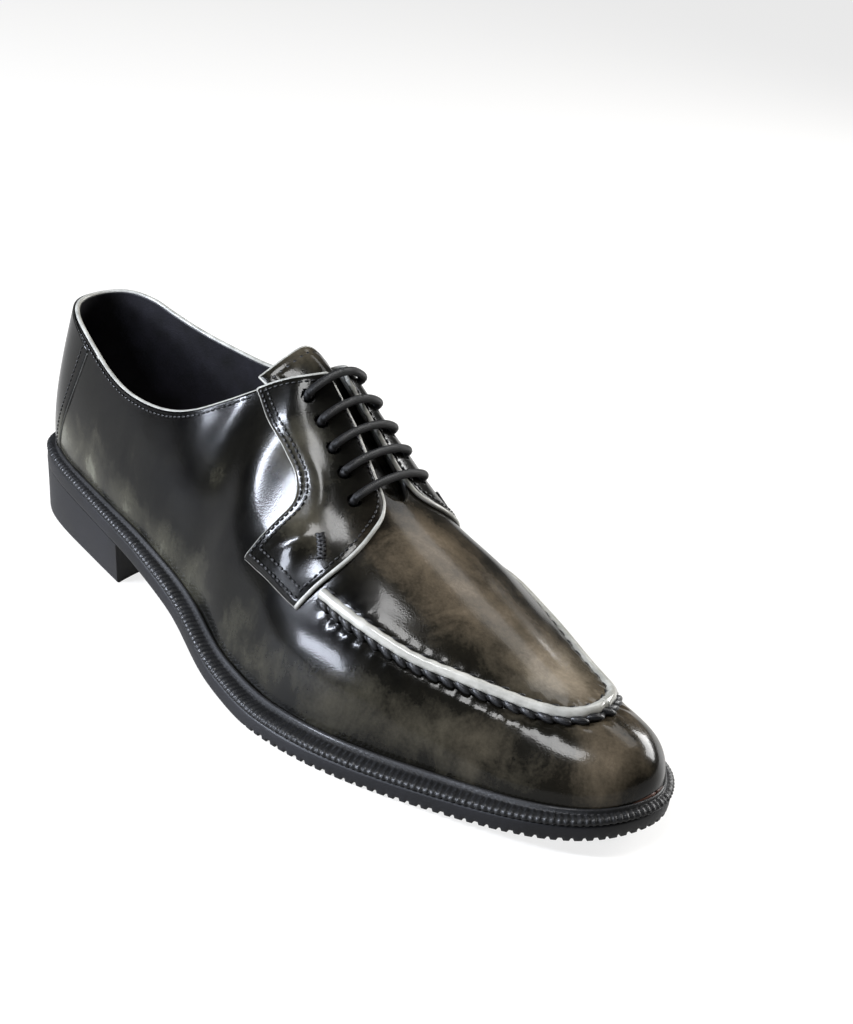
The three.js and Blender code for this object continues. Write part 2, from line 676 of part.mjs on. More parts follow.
// The raised seam round the apron: a half-round bead that follows the skin.
function apronSeam() {
  const knots = apron.map((_, i) => i / (apron.length - 1));
  const steps = 48;
  const places = Array.from({ length: steps + 1 }, (_, i) => {
    const at = i / steps;
    return new THREE.Vector2(
      soleLength * smoothRow(knots, apron.map((row) => row.x), at),
      ballWidth * smoothRow(knots, apron.map((row) => row.y), at),
    );
  });
  const section = [[-0.5, 0], [-0.42, 0.62], [-0.16, 1], [0.16, 1], [0.42, 0.62], [0.5, 0]];
  const rings = places.map((place, i) => {
    const ahead = places[Math.min(i + 1, steps)];
    const behind = places[Math.max(i - 1, 0)];
    const along = ahead.clone().sub(behind).normalize();
    const middle = seat(place.x, place.y);
    const normal = offSkin(middle.t, middle.v, 1).sub(skin(middle.t, middle.v));
    const slope = (normal.y * along.x - normal.x * along.y) / normal.z;
    const width = pipingWidth / Math.hypot(1, slope);
    return section.map(([across, height]) => {
      const x = place.x - along.y * across * width;
      const y = place.y + along.x * across * width;
      const { t, v } = seat(x, y);
      return offSkin(t, v, overlayFit + height * pipingHeight);
    });
  });
  return outward(ringBody(rings, false));
}

// One bar of the lace: out of an eyelet, over both facings and down into the eyelet opposite.
function laceBar({ x, v }) {
  const over = overlayFit + facingWall + fit + laceDiameter / 2;
  const lifts = [overlayFit + facingWall / 2, over, over + fit, over - fit];
  const lateral = lifts.map((height, i) => ({ side: -1, share: laceShares[i], height }));
  const medial = lateral.map((place) => ({ ...place, side: 1 })).reverse();
  const points = [...lateral, ...medial].map(({ side, share, height }) => {
    const place = mix(v, 1, share);
    return offSkin(stationAt(x * soleLength, place, side), place, height);
  });
  const path = new THREE.CatmullRomCurve3(points, false, 'centripetal');
  const round = new THREE.Shape();
  round.absarc(0, 0, laceDiameter / 2, 0, 2 * Math.PI);
  const bar = new THREE.ExtrudeGeometry(round, { steps: 11, curveSegments: 3, extrudePath: path });
  bar.deleteAttribute('normal');
  bar.deleteAttribute('uv');
  return outward(mergeVertices(bar, 1e-4));
}

addPiece('outsole', outsole(), soleRubber);
addPiece('heel_block', heelBlock(), soleRubber);
addPiece('welt', welt(), weltLeather);
addPiece('insole', footbed(), footbedLeather);
addPiece('upper', upper(), patinaCalf);
addPiece('facing_lateral', facingWithEyelets(-1), patinaCalf);
addPiece('facing_medial', facingWithEyelets(1), patinaCalf);
addPiece('back_strip', backStrip(), patinaCalf);
addPiece('apron_seam', apronSeam(), paleEdge);
addPiece('tongue', tongue(), patinaCalf);
eyelets.forEach((eyelet, i) => addPiece(`lace_bar_${i + 1}`, laceBar(eyelet), laceCotton));

// The origin is at the middle of the shoe's footprint, on the floor.
const box = new THREE.Box3().setFromObject(shoe);
shoe.position.set(-(box.min.x + box.max.x) / 2, -(box.min.y + box.max.y) / 2, -box.min.z);

export default shoe;
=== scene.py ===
"""The right shoe of a pair of apron derbies, dressed in hand-patinated calf.

Lengths inside the shape functions are millimetres from the heel back; meshes are in metres.
"""

import math

import bmesh
import bpy
import numpy as np
from bpy.props import FloatProperty, FloatVectorProperty, IntProperty, PointerProperty
from mathutils import Matrix, Quaternion, Vector


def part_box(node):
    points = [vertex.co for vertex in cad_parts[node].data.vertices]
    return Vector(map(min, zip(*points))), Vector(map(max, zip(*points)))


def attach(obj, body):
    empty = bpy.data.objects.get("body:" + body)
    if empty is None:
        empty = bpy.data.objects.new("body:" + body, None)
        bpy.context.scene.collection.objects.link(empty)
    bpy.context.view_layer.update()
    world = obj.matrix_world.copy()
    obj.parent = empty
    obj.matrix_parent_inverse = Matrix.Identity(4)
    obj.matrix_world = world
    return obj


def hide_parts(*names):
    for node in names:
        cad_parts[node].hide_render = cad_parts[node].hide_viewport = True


bl_info = {
    "name": "Apron Derby Shoe",
    "version": (1, 0, 0),
    "blender": (4, 5, 0),
    "location": "View3D > Sidebar > Shoe",
    "description": "Builds a patinated calf derby with a raised apron seam",
    "category": "Add Mesh",
}

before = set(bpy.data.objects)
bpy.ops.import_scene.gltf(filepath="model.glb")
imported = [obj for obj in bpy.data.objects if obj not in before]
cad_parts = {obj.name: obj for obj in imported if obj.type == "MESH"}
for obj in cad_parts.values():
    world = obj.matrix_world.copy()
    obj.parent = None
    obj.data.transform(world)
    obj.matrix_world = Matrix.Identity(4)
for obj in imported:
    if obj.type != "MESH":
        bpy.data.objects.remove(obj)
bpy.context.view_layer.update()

# Sizes of the last and the sole
SOLE_LENGTH = 309
BALL_WIDTH = 107
HEEL_WIDTH = 67
HEEL_HEIGHT = 17.3
SEAT_RISE = 4.7
TOE_SPRING = 8.8
OUTSOLE_THICKNESS = 6
BREAST_SHARE = 0.254
BALL_START_SHARE = 0.602
BALL_END_SHARE = 0.686
HEEL_TAPER = 2
BREAST_HOLLOW = 4
WELT_THICKNESS = 1.6
WELT_RISE = 2.7
WELT_REACH = 7.5
INSTEP_HEIGHT = 117
BACK_HEIGHT = 90
UPPER_WALL = 2.2
FACING_WALL = 1.7
TONGUE_WALL = 1.8
TONGUE_LENGTH = 61
TONGUE_WIDTH = 32
TONGUE_FOOT_WIDTH = 30
TONGUE_SHIFT = 3
TONGUE_TOP_ROUND = 0.014
TONGUE_FREE_X = 0.455 * SOLE_LENGTH
TONGUE_SLOPE = 0.34
TONGUE_FLARE = 3.0
TONGUE_TUCK = 5
STRIP_FOOT_HALF = 1.6
STRIP_TOP_HALF = 2.9
LACING_GAP = 7.4
THROAT_GAP = 12
PIPING_WIDTH = 4
PIPING_HEIGHT = 2.4
LACE_DIAMETER = 3.6
EYELET_DIAMETER = 4.8
FIT = 0.3
OVERLAY_FIT = 0.6
UPPER_SEAT = OUTSOLE_THICKNESS + WELT_THICKNESS + 3 * FIT

# One row for each section of the shoe, from the heel back to the toe tip.
SECTION_COLUMNS = [
    "share", "ball", "lateral", "medial", "reach", "crest", "height", "ridge",
    "gap", "lean_l", "lean_m", "rise", "arrive", "crown_l", "crown_m", "pitch",
]
SECTION_ROWS = [
    (0.000, 0.0, 0.000, 0.000, 0.62, 0.037, 0.89, 0.000, 0.000, 1, 1, 0.33, 12, 0.30, 0.30, 0),
    (0.022, 0.0, 0.250, 0.250, 0.56, 0.048, 0.89, 0.000, 0.140, 5, 5, 0.33, 9, 0.33, 0.33, 0),
    (0.085, 0.0, 0.385, 0.388, 0.48, 0.084, 0.89, 0.000, 0.255, 12, 12, 0.33, 2, 0.36, 0.36, 0),
    (0.155, 0.0, 0.455, 0.455, 0.50, 0.145, 0.89, 0.000, 0.306, 14, 14, 0.33, -3, 0.38, 0.38, 0),
    (0.220, 0.0, 0.512, 0.475, 0.56, 0.210, 0.90, 0.000, 0.328, 12, 14, 0.33, -3, 0.36, 0.36, 0),
    (0.285, 0.2, 0.505, 0.407, 0.64, 0.270, 0.92, 0.003, 0.313, 8, 16, 0.33, 0, 0.34, 0.34, 0),
    (0.345, 0.4, 0.495, 0.342, 0.74, 0.330, 0.95, 0.006, 0.250, 5, 18, 0.33, 8, 0.30, 0.31, 0),
    (0.400, 0.6, 0.488, 0.305, 0.82, 0.388, 0.975, 0.028, 0.130, 2, 20, 0.33, 24, 0.27, 0.31, 0),
    (0.450, 0.8, 0.500, 0.302, 0.86, 0.443, 0.943, 0.040, 0.030, 0, 21, 0.31, 60, 0.36, 0.36, -0.4),
    (0.495, 1.0, 0.505, 0.311, 0.86, 0.490, 0.838, 0.047, 0.000, -2, 21, 0.29, 84, 0.52, 0.66, -0.82),
    (0.540, 1.0, 0.532, 0.366, 0.90, 0.538, 0.731, 0.044, 0.000, 0, 20, 0.34, 90, 0.63, 0.78, -0.80),
    (0.590, 1.0, 0.552, 0.415, 0.96, 0.590, 0.626, 0.035, 0.000, 2, 16, 0.38, 90, 0.68, 0.86, -0.66),
    (0.645, 1.0, 0.550, 0.441, 1.00, 0.645, 0.563, 0.024, 0.000, 3, 8, 0.39, 90, 0.73, 0.88, -0.5),
    (0.700, 1.0, 0.522, 0.458, 1.00, 0.699, 0.512, 0.020, 0.000, 3, 5, 0.42, 90, 0.75, 0.86, -0.45),
    (0.760, 1.0, 0.472, 0.449, 1.00, 0.754, 0.450, 0.022, 0.000, 3, 3, 0.43, 90, 0.73, 0.77, -0.4),
    (0.820, 1.0, 0.413, 0.413, 0.98, 0.808, 0.393, 0.027, 0.000, 3, 3, 0.46, 90, 0.64, 0.66, -0.3),
    (0.875, 1.0, 0.356, 0.362, 0.86, 0.853, 0.348, 0.031, 0.000, 4, 4, 0.49, 90, 0.55, 0.58, -0.2),
    (0.925, 1.0, 0.292, 0.308, 0.72, 0.888, 0.328, 0.033, 0.000, 5, 5, 0.50, 90, 0.54, 0.56, -0.18),
    (0.965, 1.0, 0.207, 0.239, 0.58, 0.912, 0.318, 0.034, 0.000, 6, 6, 0.50, 90, 0.58, 0.60, -0.2),
    (0.990, 1.0, 0.098, 0.142, 0.48, 0.926, 0.311, 0.034, 0.000, 7, 7, 0.50, 90, 0.64, 0.64, -0.2),
    (1.000, 1.0, -0.033, 0.033, 0.44, 0.931, 0.308, 0.034, 0.000, 8, 8, 0.50, 90, 0.66, 0.66, -0.2),
]
COLLAR_ROWS = np.array([
    (0.000, 1.010, 1.010), (0.045, 1.000, 1.040), (0.090, 0.955, 1.030), (0.125, 0.908, 1.000),
    (0.165, 0.856, 0.975), (0.210, 0.825, 0.960), (0.260, 0.824, 0.957), (0.300, 0.848, 0.965),
    (0.335, 0.895, 0.985), (0.370, 0.968, 1.020), (0.405, 1.050, 1.065), (0.445, 1.135, 1.135),
    (0.485, 1.185, 1.185),
])
FACING_ROWS = np.array([
    (0.408, 0.770, 0.474, 1.000), (0.447, 0.710, 0.521, 0.956), (0.486, 0.690, 0.562, 0.938),
    (0.514, 0.673, 0.595, 0.914), (0.528, 0.625, 0.612, 0.835), (0.522, 0.540, 0.617, 0.680),
    (0.499, 0.364, 0.596, 0.418),
])
EYELETS = [(0.470, 0.860), (0.497, 0.849), (0.524, 0.836), (0.549, 0.832), (0.576, 0.818)]
APRON_ROWS = np.array([
    (0.616, -0.352), (0.660, -0.347), (0.700, -0.329), (0.740, -0.296), (0.780, -0.244),
    (0.824, -0.182), (0.866, -0.120), (0.890, -0.074), (0.903, -0.018), (0.905, 0.045),
    (0.899, 0.105), (0.887, 0.158), (0.864, 0.196), (0.815, 0.232), (0.737, 0.312),
    (0.668, 0.326), (0.613, 0.316),
])
SIDES = {"lateral": -1, "medial": 1}


# Smooth curves through the rows
def spline(control, t):
    """A closed cubic curve of numbers, read at t."""
    t = np.asarray(t, float)
    start = np.floor(t).astype(int)
    f = t - start
    weights = [(1 - f) ** 3, 3 * f**3 - 6 * f**2 + 4, -3 * f**3 + 3 * f**2 + 3 * f + 1, f**3]
    return sum(w * control[(start + k - 1) % len(control)] for k, w in enumerate(weights)) / 6


def through(values):
    """The control numbers whose closed curve passes through the values."""
    values = np.array(values, float)
    control = values.copy()
    for _ in range(40):
        control = (6 * values - np.roll(control, 1) - np.roll(control, -1)) / 4
    return control


def smooth_row(knots, values, at):
    """A smooth open curve through rows of numbers."""
    knots, values, at = np.asarray(knots, float), np.asarray(values, float), np.asarray(at, float)
    last = len(knots) - 1
    slope = np.array([
        (values[min(k + 1, last)] - values[max(k - 1, 0)]) / (knots[min(k + 1, last)] - knots[max(k - 1, 0)])
        for k in range(last + 1)
    ])
    at = np.clip(at, knots[0], knots[-1])
    i = np.clip(np.searchsorted(knots, at, side="right") - 1, 0, last - 1)
    span = knots[i + 1] - knots[i]
    f = (at - knots[i]) / span
    h1 = 1 - 3 * f**2 + 2 * f**3
    h2 = f - 2 * f**2 + f**3
    h3 = f**3 - f**2
    return h1 * values[i] + (1 - h1) * values[i + 1] + span * (h2 * slope[i] + h3 * slope[i + 1])


def mix(a, b, f):
    return a + (b - a) * f


def smooth_step(low, high, value):
    f = np.clip((np.asarray(value, float) - low) / (high - low), 0, 1)
    return f * f * (3 - 2 * f)


def unit(vectors):
    return vectors / np.maximum(np.linalg.norm(vectors, axis=-1, keepdims=True), 1e-9)


# The loop runs heel, lateral side, toe, medial side, and t counts its rows
TOE = len(SECTION_ROWS) - 1
LOOP = 2 * TOE


def loop_values(name_lateral, name_medial=None):
    rows = [dict(zip(SECTION_COLUMNS, r)) for r in SECTION_ROWS]
    name_medial = name_medial or name_lateral
    lateral = [r[name_lateral] for r in rows]
    medial = [rows[i][name_medial] for i in range(TOE - 1, 0, -1)]
    return np.array(lateral + medial, float)


SIGN = np.array([-1.0] * (TOE + 1) + [1.0] * (TOE - 1))
WIDTH = mix(HEEL_WIDTH, BALL_WIDTH, loop_values("ball")) * loop_values("lateral", "medial")
CURVES = {
    "sole_x": through(SOLE_LENGTH * loop_values("share")),
    "sole_y": through(SIGN * WIDTH),
    "reach": through(WELT_REACH * loop_values("reach")),
    "crest_x": through(SOLE_LENGTH * loop_values("crest")),
    "crest_z": through(INSTEP_HEIGHT * loop_values("height")),
    "ridge": through(BALL_WIDTH * loop_values("ridge")),
    "gap": SIGN * HEEL_WIDTH * loop_values("gap"),
    "lean": through(loop_values("lean_l", "lean_m")),
    "rise": through(loop_values("rise")),
    "arrive": through(loop_values("arrive")),
    "crown": through(loop_values("crown_l", "crown_m")),
    "pitch": through(loop_values("pitch")),
}


def curve(name, t):
    return spline(CURVES[name], t)


def sole_bottom(x):
    """Height of the outsole's underside: level at the ball, up to the heel seat and the toe."""
    x = np.asarray(x, float)
    breast, start, end = (s * SOLE_LENGTH for s in (BREAST_SHARE, BALL_START_SHARE, BALL_END_SHARE))
    seat = HEEL_HEIGHT + SEAT_RISE * (1 - x / breast)
    f = (x - breast) / (start - breast)
    fall = SEAT_RISE * (start - breast) / breast
    shank = HEEL_HEIGHT * (1 - 3 * f**2 + 2 * f**3) - fall * (f - 2 * f**2 + f**3)
    toe = TOE_SPRING * ((x - end) / (SOLE_LENGTH - end)) ** 2
    return np.where(x < breast, seat, np.where(x < start, shank, np.where(x < end, 0.0, toe)))


def edge_point(t, inset):
    """A point of the sole's edge, moved inwards in plan."""
    step = 0.02
    dx = curve("sole_x", t + step) - curve("sole_x", t - step)
    dy = curve("sole_y", t + step) - curve("sole_y", t - step)
    length = np.hypot(dx, dy)
    x = curve("sole_x", t) - inset * dy / length
    y = curve("sole_y", t) + inset * dx / length
    return np.stack([x, y], -1)


def skin(t, v):
    """The outer surface of the lasted upper: v = 0 at the welt, 1 on the ridge or open top."""
    t, v = np.broadcast_arrays(np.asarray(t, float), np.asarray(v, float))
    foot = edge_point(t, curve("reach", t))
    low = np.stack([foot[..., 0], foot[..., 1], sole_bottom(foot[..., 0]) + UPPER_SEAT], -1)
    top = np.stack([curve("crest_x", t), curve("ridge", t) + curve("gap", t), curve("crest_z", t)], -1)
    inward = top - low
    inward[..., 2] = 0
    inward = unit(inward)
    over = inward.copy()
    over[..., 2] = inward[..., 0] * curve("pitch", t)
    over = unit(over)
    angle = np.radians(curve("arrive", t))[..., None]
    arrive = unit(over * np.sin(angle) + np.array([0, 0, 1.0]) * np.cos(angle))
    rise = curve("rise", t) * (top[..., 2] - low[..., 2])
    lower = low - inward * (np.tan(np.radians(curve("lean", t))) * rise)[..., None]
    lower[..., 2] += rise
    drop = np.sum((top - low) * arrive, -1) * curve("crown", t)
    upper = top - arrive * drop[..., None]
    v = v[..., None]
    w = 1 - v
    return low * w**3 + lower * 3 * w * w * v + upper * 3 * w * v * v + top * v**3


def skin_normal(t, v):
    t, v = np.broadcast_arrays(np.asarray(t, float), np.asarray(v, float))
    step = 0.004
    up = skin(t, np.minimum(v + step, 1)) - skin(t, np.maximum(v - step, 0))
    along = skin(t + step, v) - skin(t - step, v)
    normal = unit(np.cross(along, up))
    on_ridge = (v > 1 - 1e-6) & (np.abs(curve("gap", t)) < 0.02)
    flat = normal.copy()
    flat[..., 1] = 0
    return np.where(on_ridge[..., None], unit(flat), normal)


def off_skin(t, v, offset):
    """Points standing off the skin along its outward normal."""
    return skin(t, v) + skin_normal(t, v) * np.asarray(offset, float)[..., None]


THROAT_X = 0.6 * SOLE_LENGTH
SLOT_START_X = 0.4 * SOLE_LENGTH
THROAT_ROUND = 0.02 * SOLE_LENGTH
COLLAR_END_X = COLLAR_ROWS[-1, 0] * SOLE_LENGTH
HEEL_BLEND = 1.6


def beyond_edge(t, v):
    """How far a point of the skin lies beyond the cut edge of the leather."""
    point = skin(t, v)
    x = point[..., 0]
    heights = [smooth_row(COLLAR_ROWS[:, 0], COLLAR_ROWS[:, k], x / SOLE_LENGTH) for k in (1, 2)]
    from_heel = np.where(t > TOE, t - LOOP, t)
    collar = BACK_HEIGHT * mix(heights[1], heights[0], smooth_step(-HEEL_BLEND, HEEL_BLEND, from_heel))
    over = np.where(x < COLLAR_END_X, point[..., 2] - collar, -1)
    share = np.clip((x - SLOT_START_X) / (THROAT_X - SLOT_START_X), 0, 1)
    half = mix(LACING_GAP, THROAT_GAP, share**2) / 2 * np.sqrt(np.clip((THROAT_X - x) / THROAT_ROUND, 0, 1))
    slotted = (x > SLOT_START_X) & (x < THROAT_X)
    slot = np.where(slotted, half - np.abs(point[..., 1] - curve("ridge", t)), -1)
    return np.maximum(over, slot)


def find_edge(t):
    """The share of the wall at which the cut edge of collar and lacing gap comes."""
    steps = 0.3 + 0.01 * np.arange(71)
    past = beyond_edge(t[:, None], np.minimum(steps, 1.0)[None, :]) >= 0
    past[:, -1] = False
    first = np.where(past.any(1), past.argmax(1), 70)
    closed = ~past.any(1)
    high = steps[first]
    low = high - 0.01
    for _ in range(20):
        middle = (low + high) / 2
        inside = beyond_edge(t, middle) < 0
        low = np.where(inside, middle, low)
        high = np.where(inside, high, middle)
    return np.where(closed, 1.0, low)


EDGE_T = np.linspace(0, LOOP, 3201)
EDGE_V = find_edge(EDGE_T)


def edge_share(t):
    return np.interp(np.asarray(t, float) % LOOP, EDGE_T, EDGE_V)


def seat(x, y):
    """The t and v of the skin over places in plan."""
    x, y = np.broadcast_arrays(np.asarray(x, float), np.asarray(y, float))
    t = np.where(y < curve("ridge", LOOP - 10.0), 13.0, LOOP - 13.0)
    v = np.full_like(t, 0.6)
    for _ in range(60):
        here = skin(t, v)
        by_t = (skin(t + 0.01, v) - here) * 100
        by_v = (skin(t, v + 0.002) - here) * 500
        det = by_t[..., 0] * by_v[..., 1] - by_t[..., 1] * by_v[..., 0]
        dx, dy = x - here[..., 0], y - here[..., 1]
        t = t + np.clip((dx * by_v[..., 1] - dy * by_v[..., 0]) / det, -0.5, 0.5)
        v = np.clip(v + np.clip((by_t[..., 0] * dy - by_t[..., 1] * dx) / det, -0.1, 0.1), 0.02, 0.999)
    return t, v


def station_at(x, v, side):
    """The t of the skin at a distance from the heel, on one side."""
    x, v = np.broadcast_arrays(np.asarray(x, float), np.asarray(v, float))
    near, far = np.full(x.shape, 5.0), np.full(x.shape, 13.0)
    for _ in range(30):
        middle = (near + far) / 2
        t = middle if side < 0 else LOOP - middle
        short = skin(t, v)[..., 0] < x
        near = np.where(short, middle, near)
        far = np.where(short, far, middle)
    return near if side < 0 else LOOP - near


# The outsole's lowest y, as packed, gives the shift from last to floor frame
OUTLINE = np.stack([curve("sole_x", np.arange(LOOP * 3) / 3), curve("sole_y", np.arange(LOOP * 3) / 3)], -1)
OUTSOLE_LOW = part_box("outsole")[0]
SHIFT = np.array([
    OUTSOLE_LOW.x * 1000 - OUTLINE[:, 0].min(), OUTSOLE_LOW.y * 1000 - OUTLINE[:, 1].min(), 0.0,
])


def to_frame(points):
    """Millimetres from the heel back to metres in the row frame."""
    return (np.asarray(points, float) + SHIFT) * 0.001


# The apron seam's line on the skin
def apron_line(count):
    knots = np.linspace(0, 1, len(APRON_ROWS))
    at = np.linspace(0, 1, count)
    x = SOLE_LENGTH * smooth_row(knots, APRON_ROWS[:, 0], at)
    y = BALL_WIDTH * smooth_row(knots, APRON_ROWS[:, 1], at)
    return np.stack([x, y], -1)


APRON_COUNT = 481
APRON_PLAN = apron_line(APRON_COUNT)
APRON_T, APRON_V = seat(APRON_PLAN[:, 0], APRON_PLAN[:, 1])
APRON_POINTS = skin(APRON_T, APRON_V)
APRON_NORMALS = skin_normal(APRON_T, APRON_V)
APRON_ALONG = unit(np.gradient(APRON_POINTS, axis=0))
APRON_INWARD = unit(np.cross(APRON_NORMALS, APRON_ALONG))
APRON_RUN = np.concatenate([[0], np.cumsum(np.linalg.norm(np.diff(APRON_POINTS, axis=0), axis=1))])
SADDLE_PITCH = 5.6


def apron_place(points):
    """Signed distance from the apron seam, inside positive, and the run along it."""
    distance = np.empty(len(points))
    run = np.empty(len(points))
    for start in range(0, len(points), 4000):
        part = points[start : start + 4000]
        gaps = part[:, None, :] - APRON_POINTS[None, :, :]
        length = np.linalg.norm(gaps, axis=2)
        nearest = length.argmin(1)
        pick = np.arange(len(part))
        side = np.sum(gaps[pick, nearest] * APRON_INWARD[nearest], axis=1)
        distance[start : start + 4000] = np.where(side > 0, 1, -1) * length[pick, nearest]
        run[start : start + 4000] = APRON_RUN[nearest]
    return distance, run


def upper_relief(points):
    """Height in mm that the sewn apron and the drawn leather add to the skin."""
    distance, run = apron_place(points)
    out = np.maximum(-distance, 0)
    inside = distance > 0
    ends = smooth_step(0, 8, np.minimum(run, APRON_RUN[-1] - run))
    plateau = 0.9 * np.exp(-((distance - 2.2) / 5.5) ** 2) * inside
    trough = -0.75 * np.exp(-((out - 3.4) / 2.6) ** 2) * ~inside
    pucker = 0.28 * np.cos(2 * np.pi * run / SADDLE_PITCH) * np.exp(-(((out - 5.0) / 3.2) ** 2)) * ~inside
    near = 0.14 * np.cos(2 * np.pi * run / SADDLE_PITCH) * np.exp(-(((distance - 3.5) / 1.8) ** 2)) * inside
    drawn = 0.10 * np.sin(points[:, 0] / 6.1 + 1.3 * np.sin(points[:, 2] / 9.0)) * np.sin(points[:, 2] / 7.3)
    return (plateau + trough + pucker + near) * ends + drawn


# The dye's own tone and warmth, and how much of the brown is rubbed in
BASE_TONE = 0.08
BASE_WARMTH = 0.10
BROWN_SHARE = 0.9

# Lighter, darker and browner places on the calf: x, y, z, reach, tone, warmth. Most are the dye that the maker
# rubbed in; the pale grey rows low on the walls near the welt are a painted reflection of the pale floor, and
# the two light rows on the lateral facing are partly a painted sheen.
PATINA_AND_PAINTED_LIGHT = [
    (245, 4, 46, 26, 0.34, 0.75), (266, 2, 41, 15, 0.36, 0.15), (205, 2, 62, 24, 0.26, 0.90),
    (200, -12, 64, 18, 0.22, 0.80), (222, -14, 54, 16, 0.16, 0.80), (128, 2, 110, 16, 0.40, 0.35),
    # The last row here and the rows of the next three lines: pale grey low on the lateral wall, a painted
    # reflection of the floor.
    (288, 4, 30, 18, 0.20, 0.95), (294, -14, 24, 16, 0.28, 0.60), (262, -34, 24, 16, 0.34, 0.30),
    (236, -46, 24, 16, 0.34, 0.15), (210, -52, 22, 15, 0.30, 0.10), (180, -50, 24, 14, 0.24, 0.05),
    (25, -22, 40, 13, 0.50, 0.0), (50, -30, 37, 13, 0.52, 0.0), (78, -34, 33, 13, 0.50, 0.0),
    (104, -37, 28, 12, 0.48, 0.0), (130, -42, 25, 12, 0.42, 0.0), (156, -47, 22, 12, 0.30, 0.0),
    (44, -26, 60, 12, 0.16, 0.05), (84, -27, 58, 9, 0.14, 0.05), (108, -28, 56, 9, -0.14, 0.0),
    (124, -28, 62, 8, 0.16, 0.05), (96, -23, 76, 12, -0.16, 0.0), (62, -24, 74, 12, -0.10, 0.0),
    # The second and third rows here lighten the lateral facing: partly rubbed-in dye, partly a painted sheen.
    (10, 0, 60, 14, -0.16, 0.0), (154, -20, 84, 14, 0.38, 0.10), (170, -30, 66, 12, 0.40, 0.12),
    (182, -34, 54, 9, 0.14, 0.12), (196, -38, 46, 11, -0.26, 0.0), (210, 30, 46, 16, -0.16, 0.2),
    (235, 40, 22, 20, 0.34, 0.3), (150, 30, 50, 28, 0.26, 0.1), (70, 28, 45, 24, 0.30, 0.05),
    (278, 26, 26, 16, 0.30, 0.5), (232, -30, 38, 7, -0.16, 0.1), (256, -22, 34, 7, -0.14, 0.1),
    (190, -12, 68, 9, -0.16, 0.3), (25, 22, 40, 14, 0.34, 0.0), (110, 32, 30, 14, 0.32, 0.05),
    (185, 42, 26, 16, 0.30, 0.1),
]


def patina_and_painted_light(points):
    """Tone (0 dark, 1 pale) and warmth (0 grey-green, 1 brown) at points in mm: the rubbed-in dye, with a
    painted floor reflection low on the walls and a partly painted sheen on the lateral facing.
    """
    tone = np.full(len(points), BASE_TONE)
    warm = np.full(len(points), BASE_WARMTH)
    for x, y, z, reach, light, brown in PATINA_AND_PAINTED_LIGHT:
        near = np.exp(-np.sum(((points - (x, y, z)) / reach) ** 2, axis=1))
        tone += light * near
        warm += brown * near * BROWN_SHARE
    return np.clip(tone, 0, 1), np.clip(warm, 0, 1)


# Mesh helpers
def link(bm, name, materials, smooth=True):
    mesh = bpy.data.meshes.new(name)
    bm.to_mesh(mesh)
    bm.free()
    piece = bpy.data.objects.new(name, mesh)
    bpy.context.scene.collection.objects.link(piece)
    for material in materials:
        mesh.materials.append(material)
    if smooth:
        mesh.shade_smooth()
    return piece


def settle(piece, slot_name, *nodes):
    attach(piece, "root")
    if nodes:
        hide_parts(*nodes)
    return piece


def shaped_grid(columns, rows, place, layers=None, weld=True):
    """A bmesh grid whose points are moved to place(u, w), with u and w from 0 to 1.

    The UV map keeps u and w; layers(points) may give named numbers for every vertex.
    """
    bm = bmesh.new()
    bm.loops.layers.uv.new("UVMap")
    bmesh.ops.create_grid(bm, x_segments=columns, y_segments=rows, size=0.5, calc_uvs=True)
    bm.verts.ensure_lookup_table()
    flat = np.array([(v.co.x + 0.5, v.co.y + 0.5) for v in bm.verts])
    u = np.round(flat[:, 0] * columns) / columns
    w = np.round(flat[:, 1] * rows) / rows
    points = place(u, w)
    values = layers(points) if layers else {}
    stores = {name: bm.verts.layers.float.new(name) for name in values}
    placed = to_frame(points)
    for i, vert in enumerate(bm.verts):
        vert.co = placed[i]
        for name, store in stores.items():
            vert[store] = values[name][i]
    if weld:
        bmesh.ops.remove_doubles(bm, verts=bm.verts, dist=1e-5)
    return bm


def thicken(piece, thickness, rim=None, inner=None):
    wall = piece.modifiers.new("Wall", "SOLIDIFY")
    wall.thickness = thickness * 0.001
    wall.offset = -1
    wall.use_even_offset = False
    if rim is not None:
        wall.material_offset_rim = rim
    if inner is not None:
        wall.material_offset = inner
    return wall


def close_ends(bm):
    rims = [e for e in bm.edges if e.is_boundary]
    bmesh.ops.holes_fill(bm, edges=rims, sides=0)
    bmesh.ops.recalc_face_normals(bm, faces=bm.faces)


def tube(name, path, radius, material, sides=12, flat=1.0, normals=None):
    """A round piece along a path of points in mm, with u round it and w along it in its UV map."""
    path = np.asarray(path, float)
    count = len(path) - 1
    along = unit(np.gradient(path, axis=0))
    if normals is None:
        normals = np.tile(np.array([0.0, 0.0, 1.0]), (len(path), 1))
    side = unit(np.cross(along, normals))
    up = unit(np.cross(side, along))
    radius = np.broadcast_to(np.asarray(radius, float), (len(path),))

    def place(u, w):
        i = np.clip(np.round(w * count).astype(int), 0, count)
        a = 2 * np.pi * u
        r = radius[i][:, None]
        return path[i] + side[i] * (np.cos(a)[:, None] * r) + up[i] * (np.sin(a)[:, None] * r * flat)

    bm = shaped_grid(sides, count, place)
    close_ends(bm)
    return link(bm, name, [material])


def along_path(path, normals, pitch, start=0.0):
    """Places every pitch mm along a path: points, directions and normals."""
    run = np.concatenate([[0], np.cumsum(np.linalg.norm(np.diff(path, axis=0), axis=1))])
    at = np.arange(start, run[-1] - pitch * 0.3, pitch)
    points = np.stack([np.interp(at, run, path[:, k]) for k in range(3)], -1)
    ups = unit(np.stack([np.interp(at, run, normals[:, k]) for k in range(3)], -1))
    ahead = np.stack([np.interp(at + 0.4, run, path[:, k]) for k in range(3)], -1)
    return points, unit(ahead - points), ups


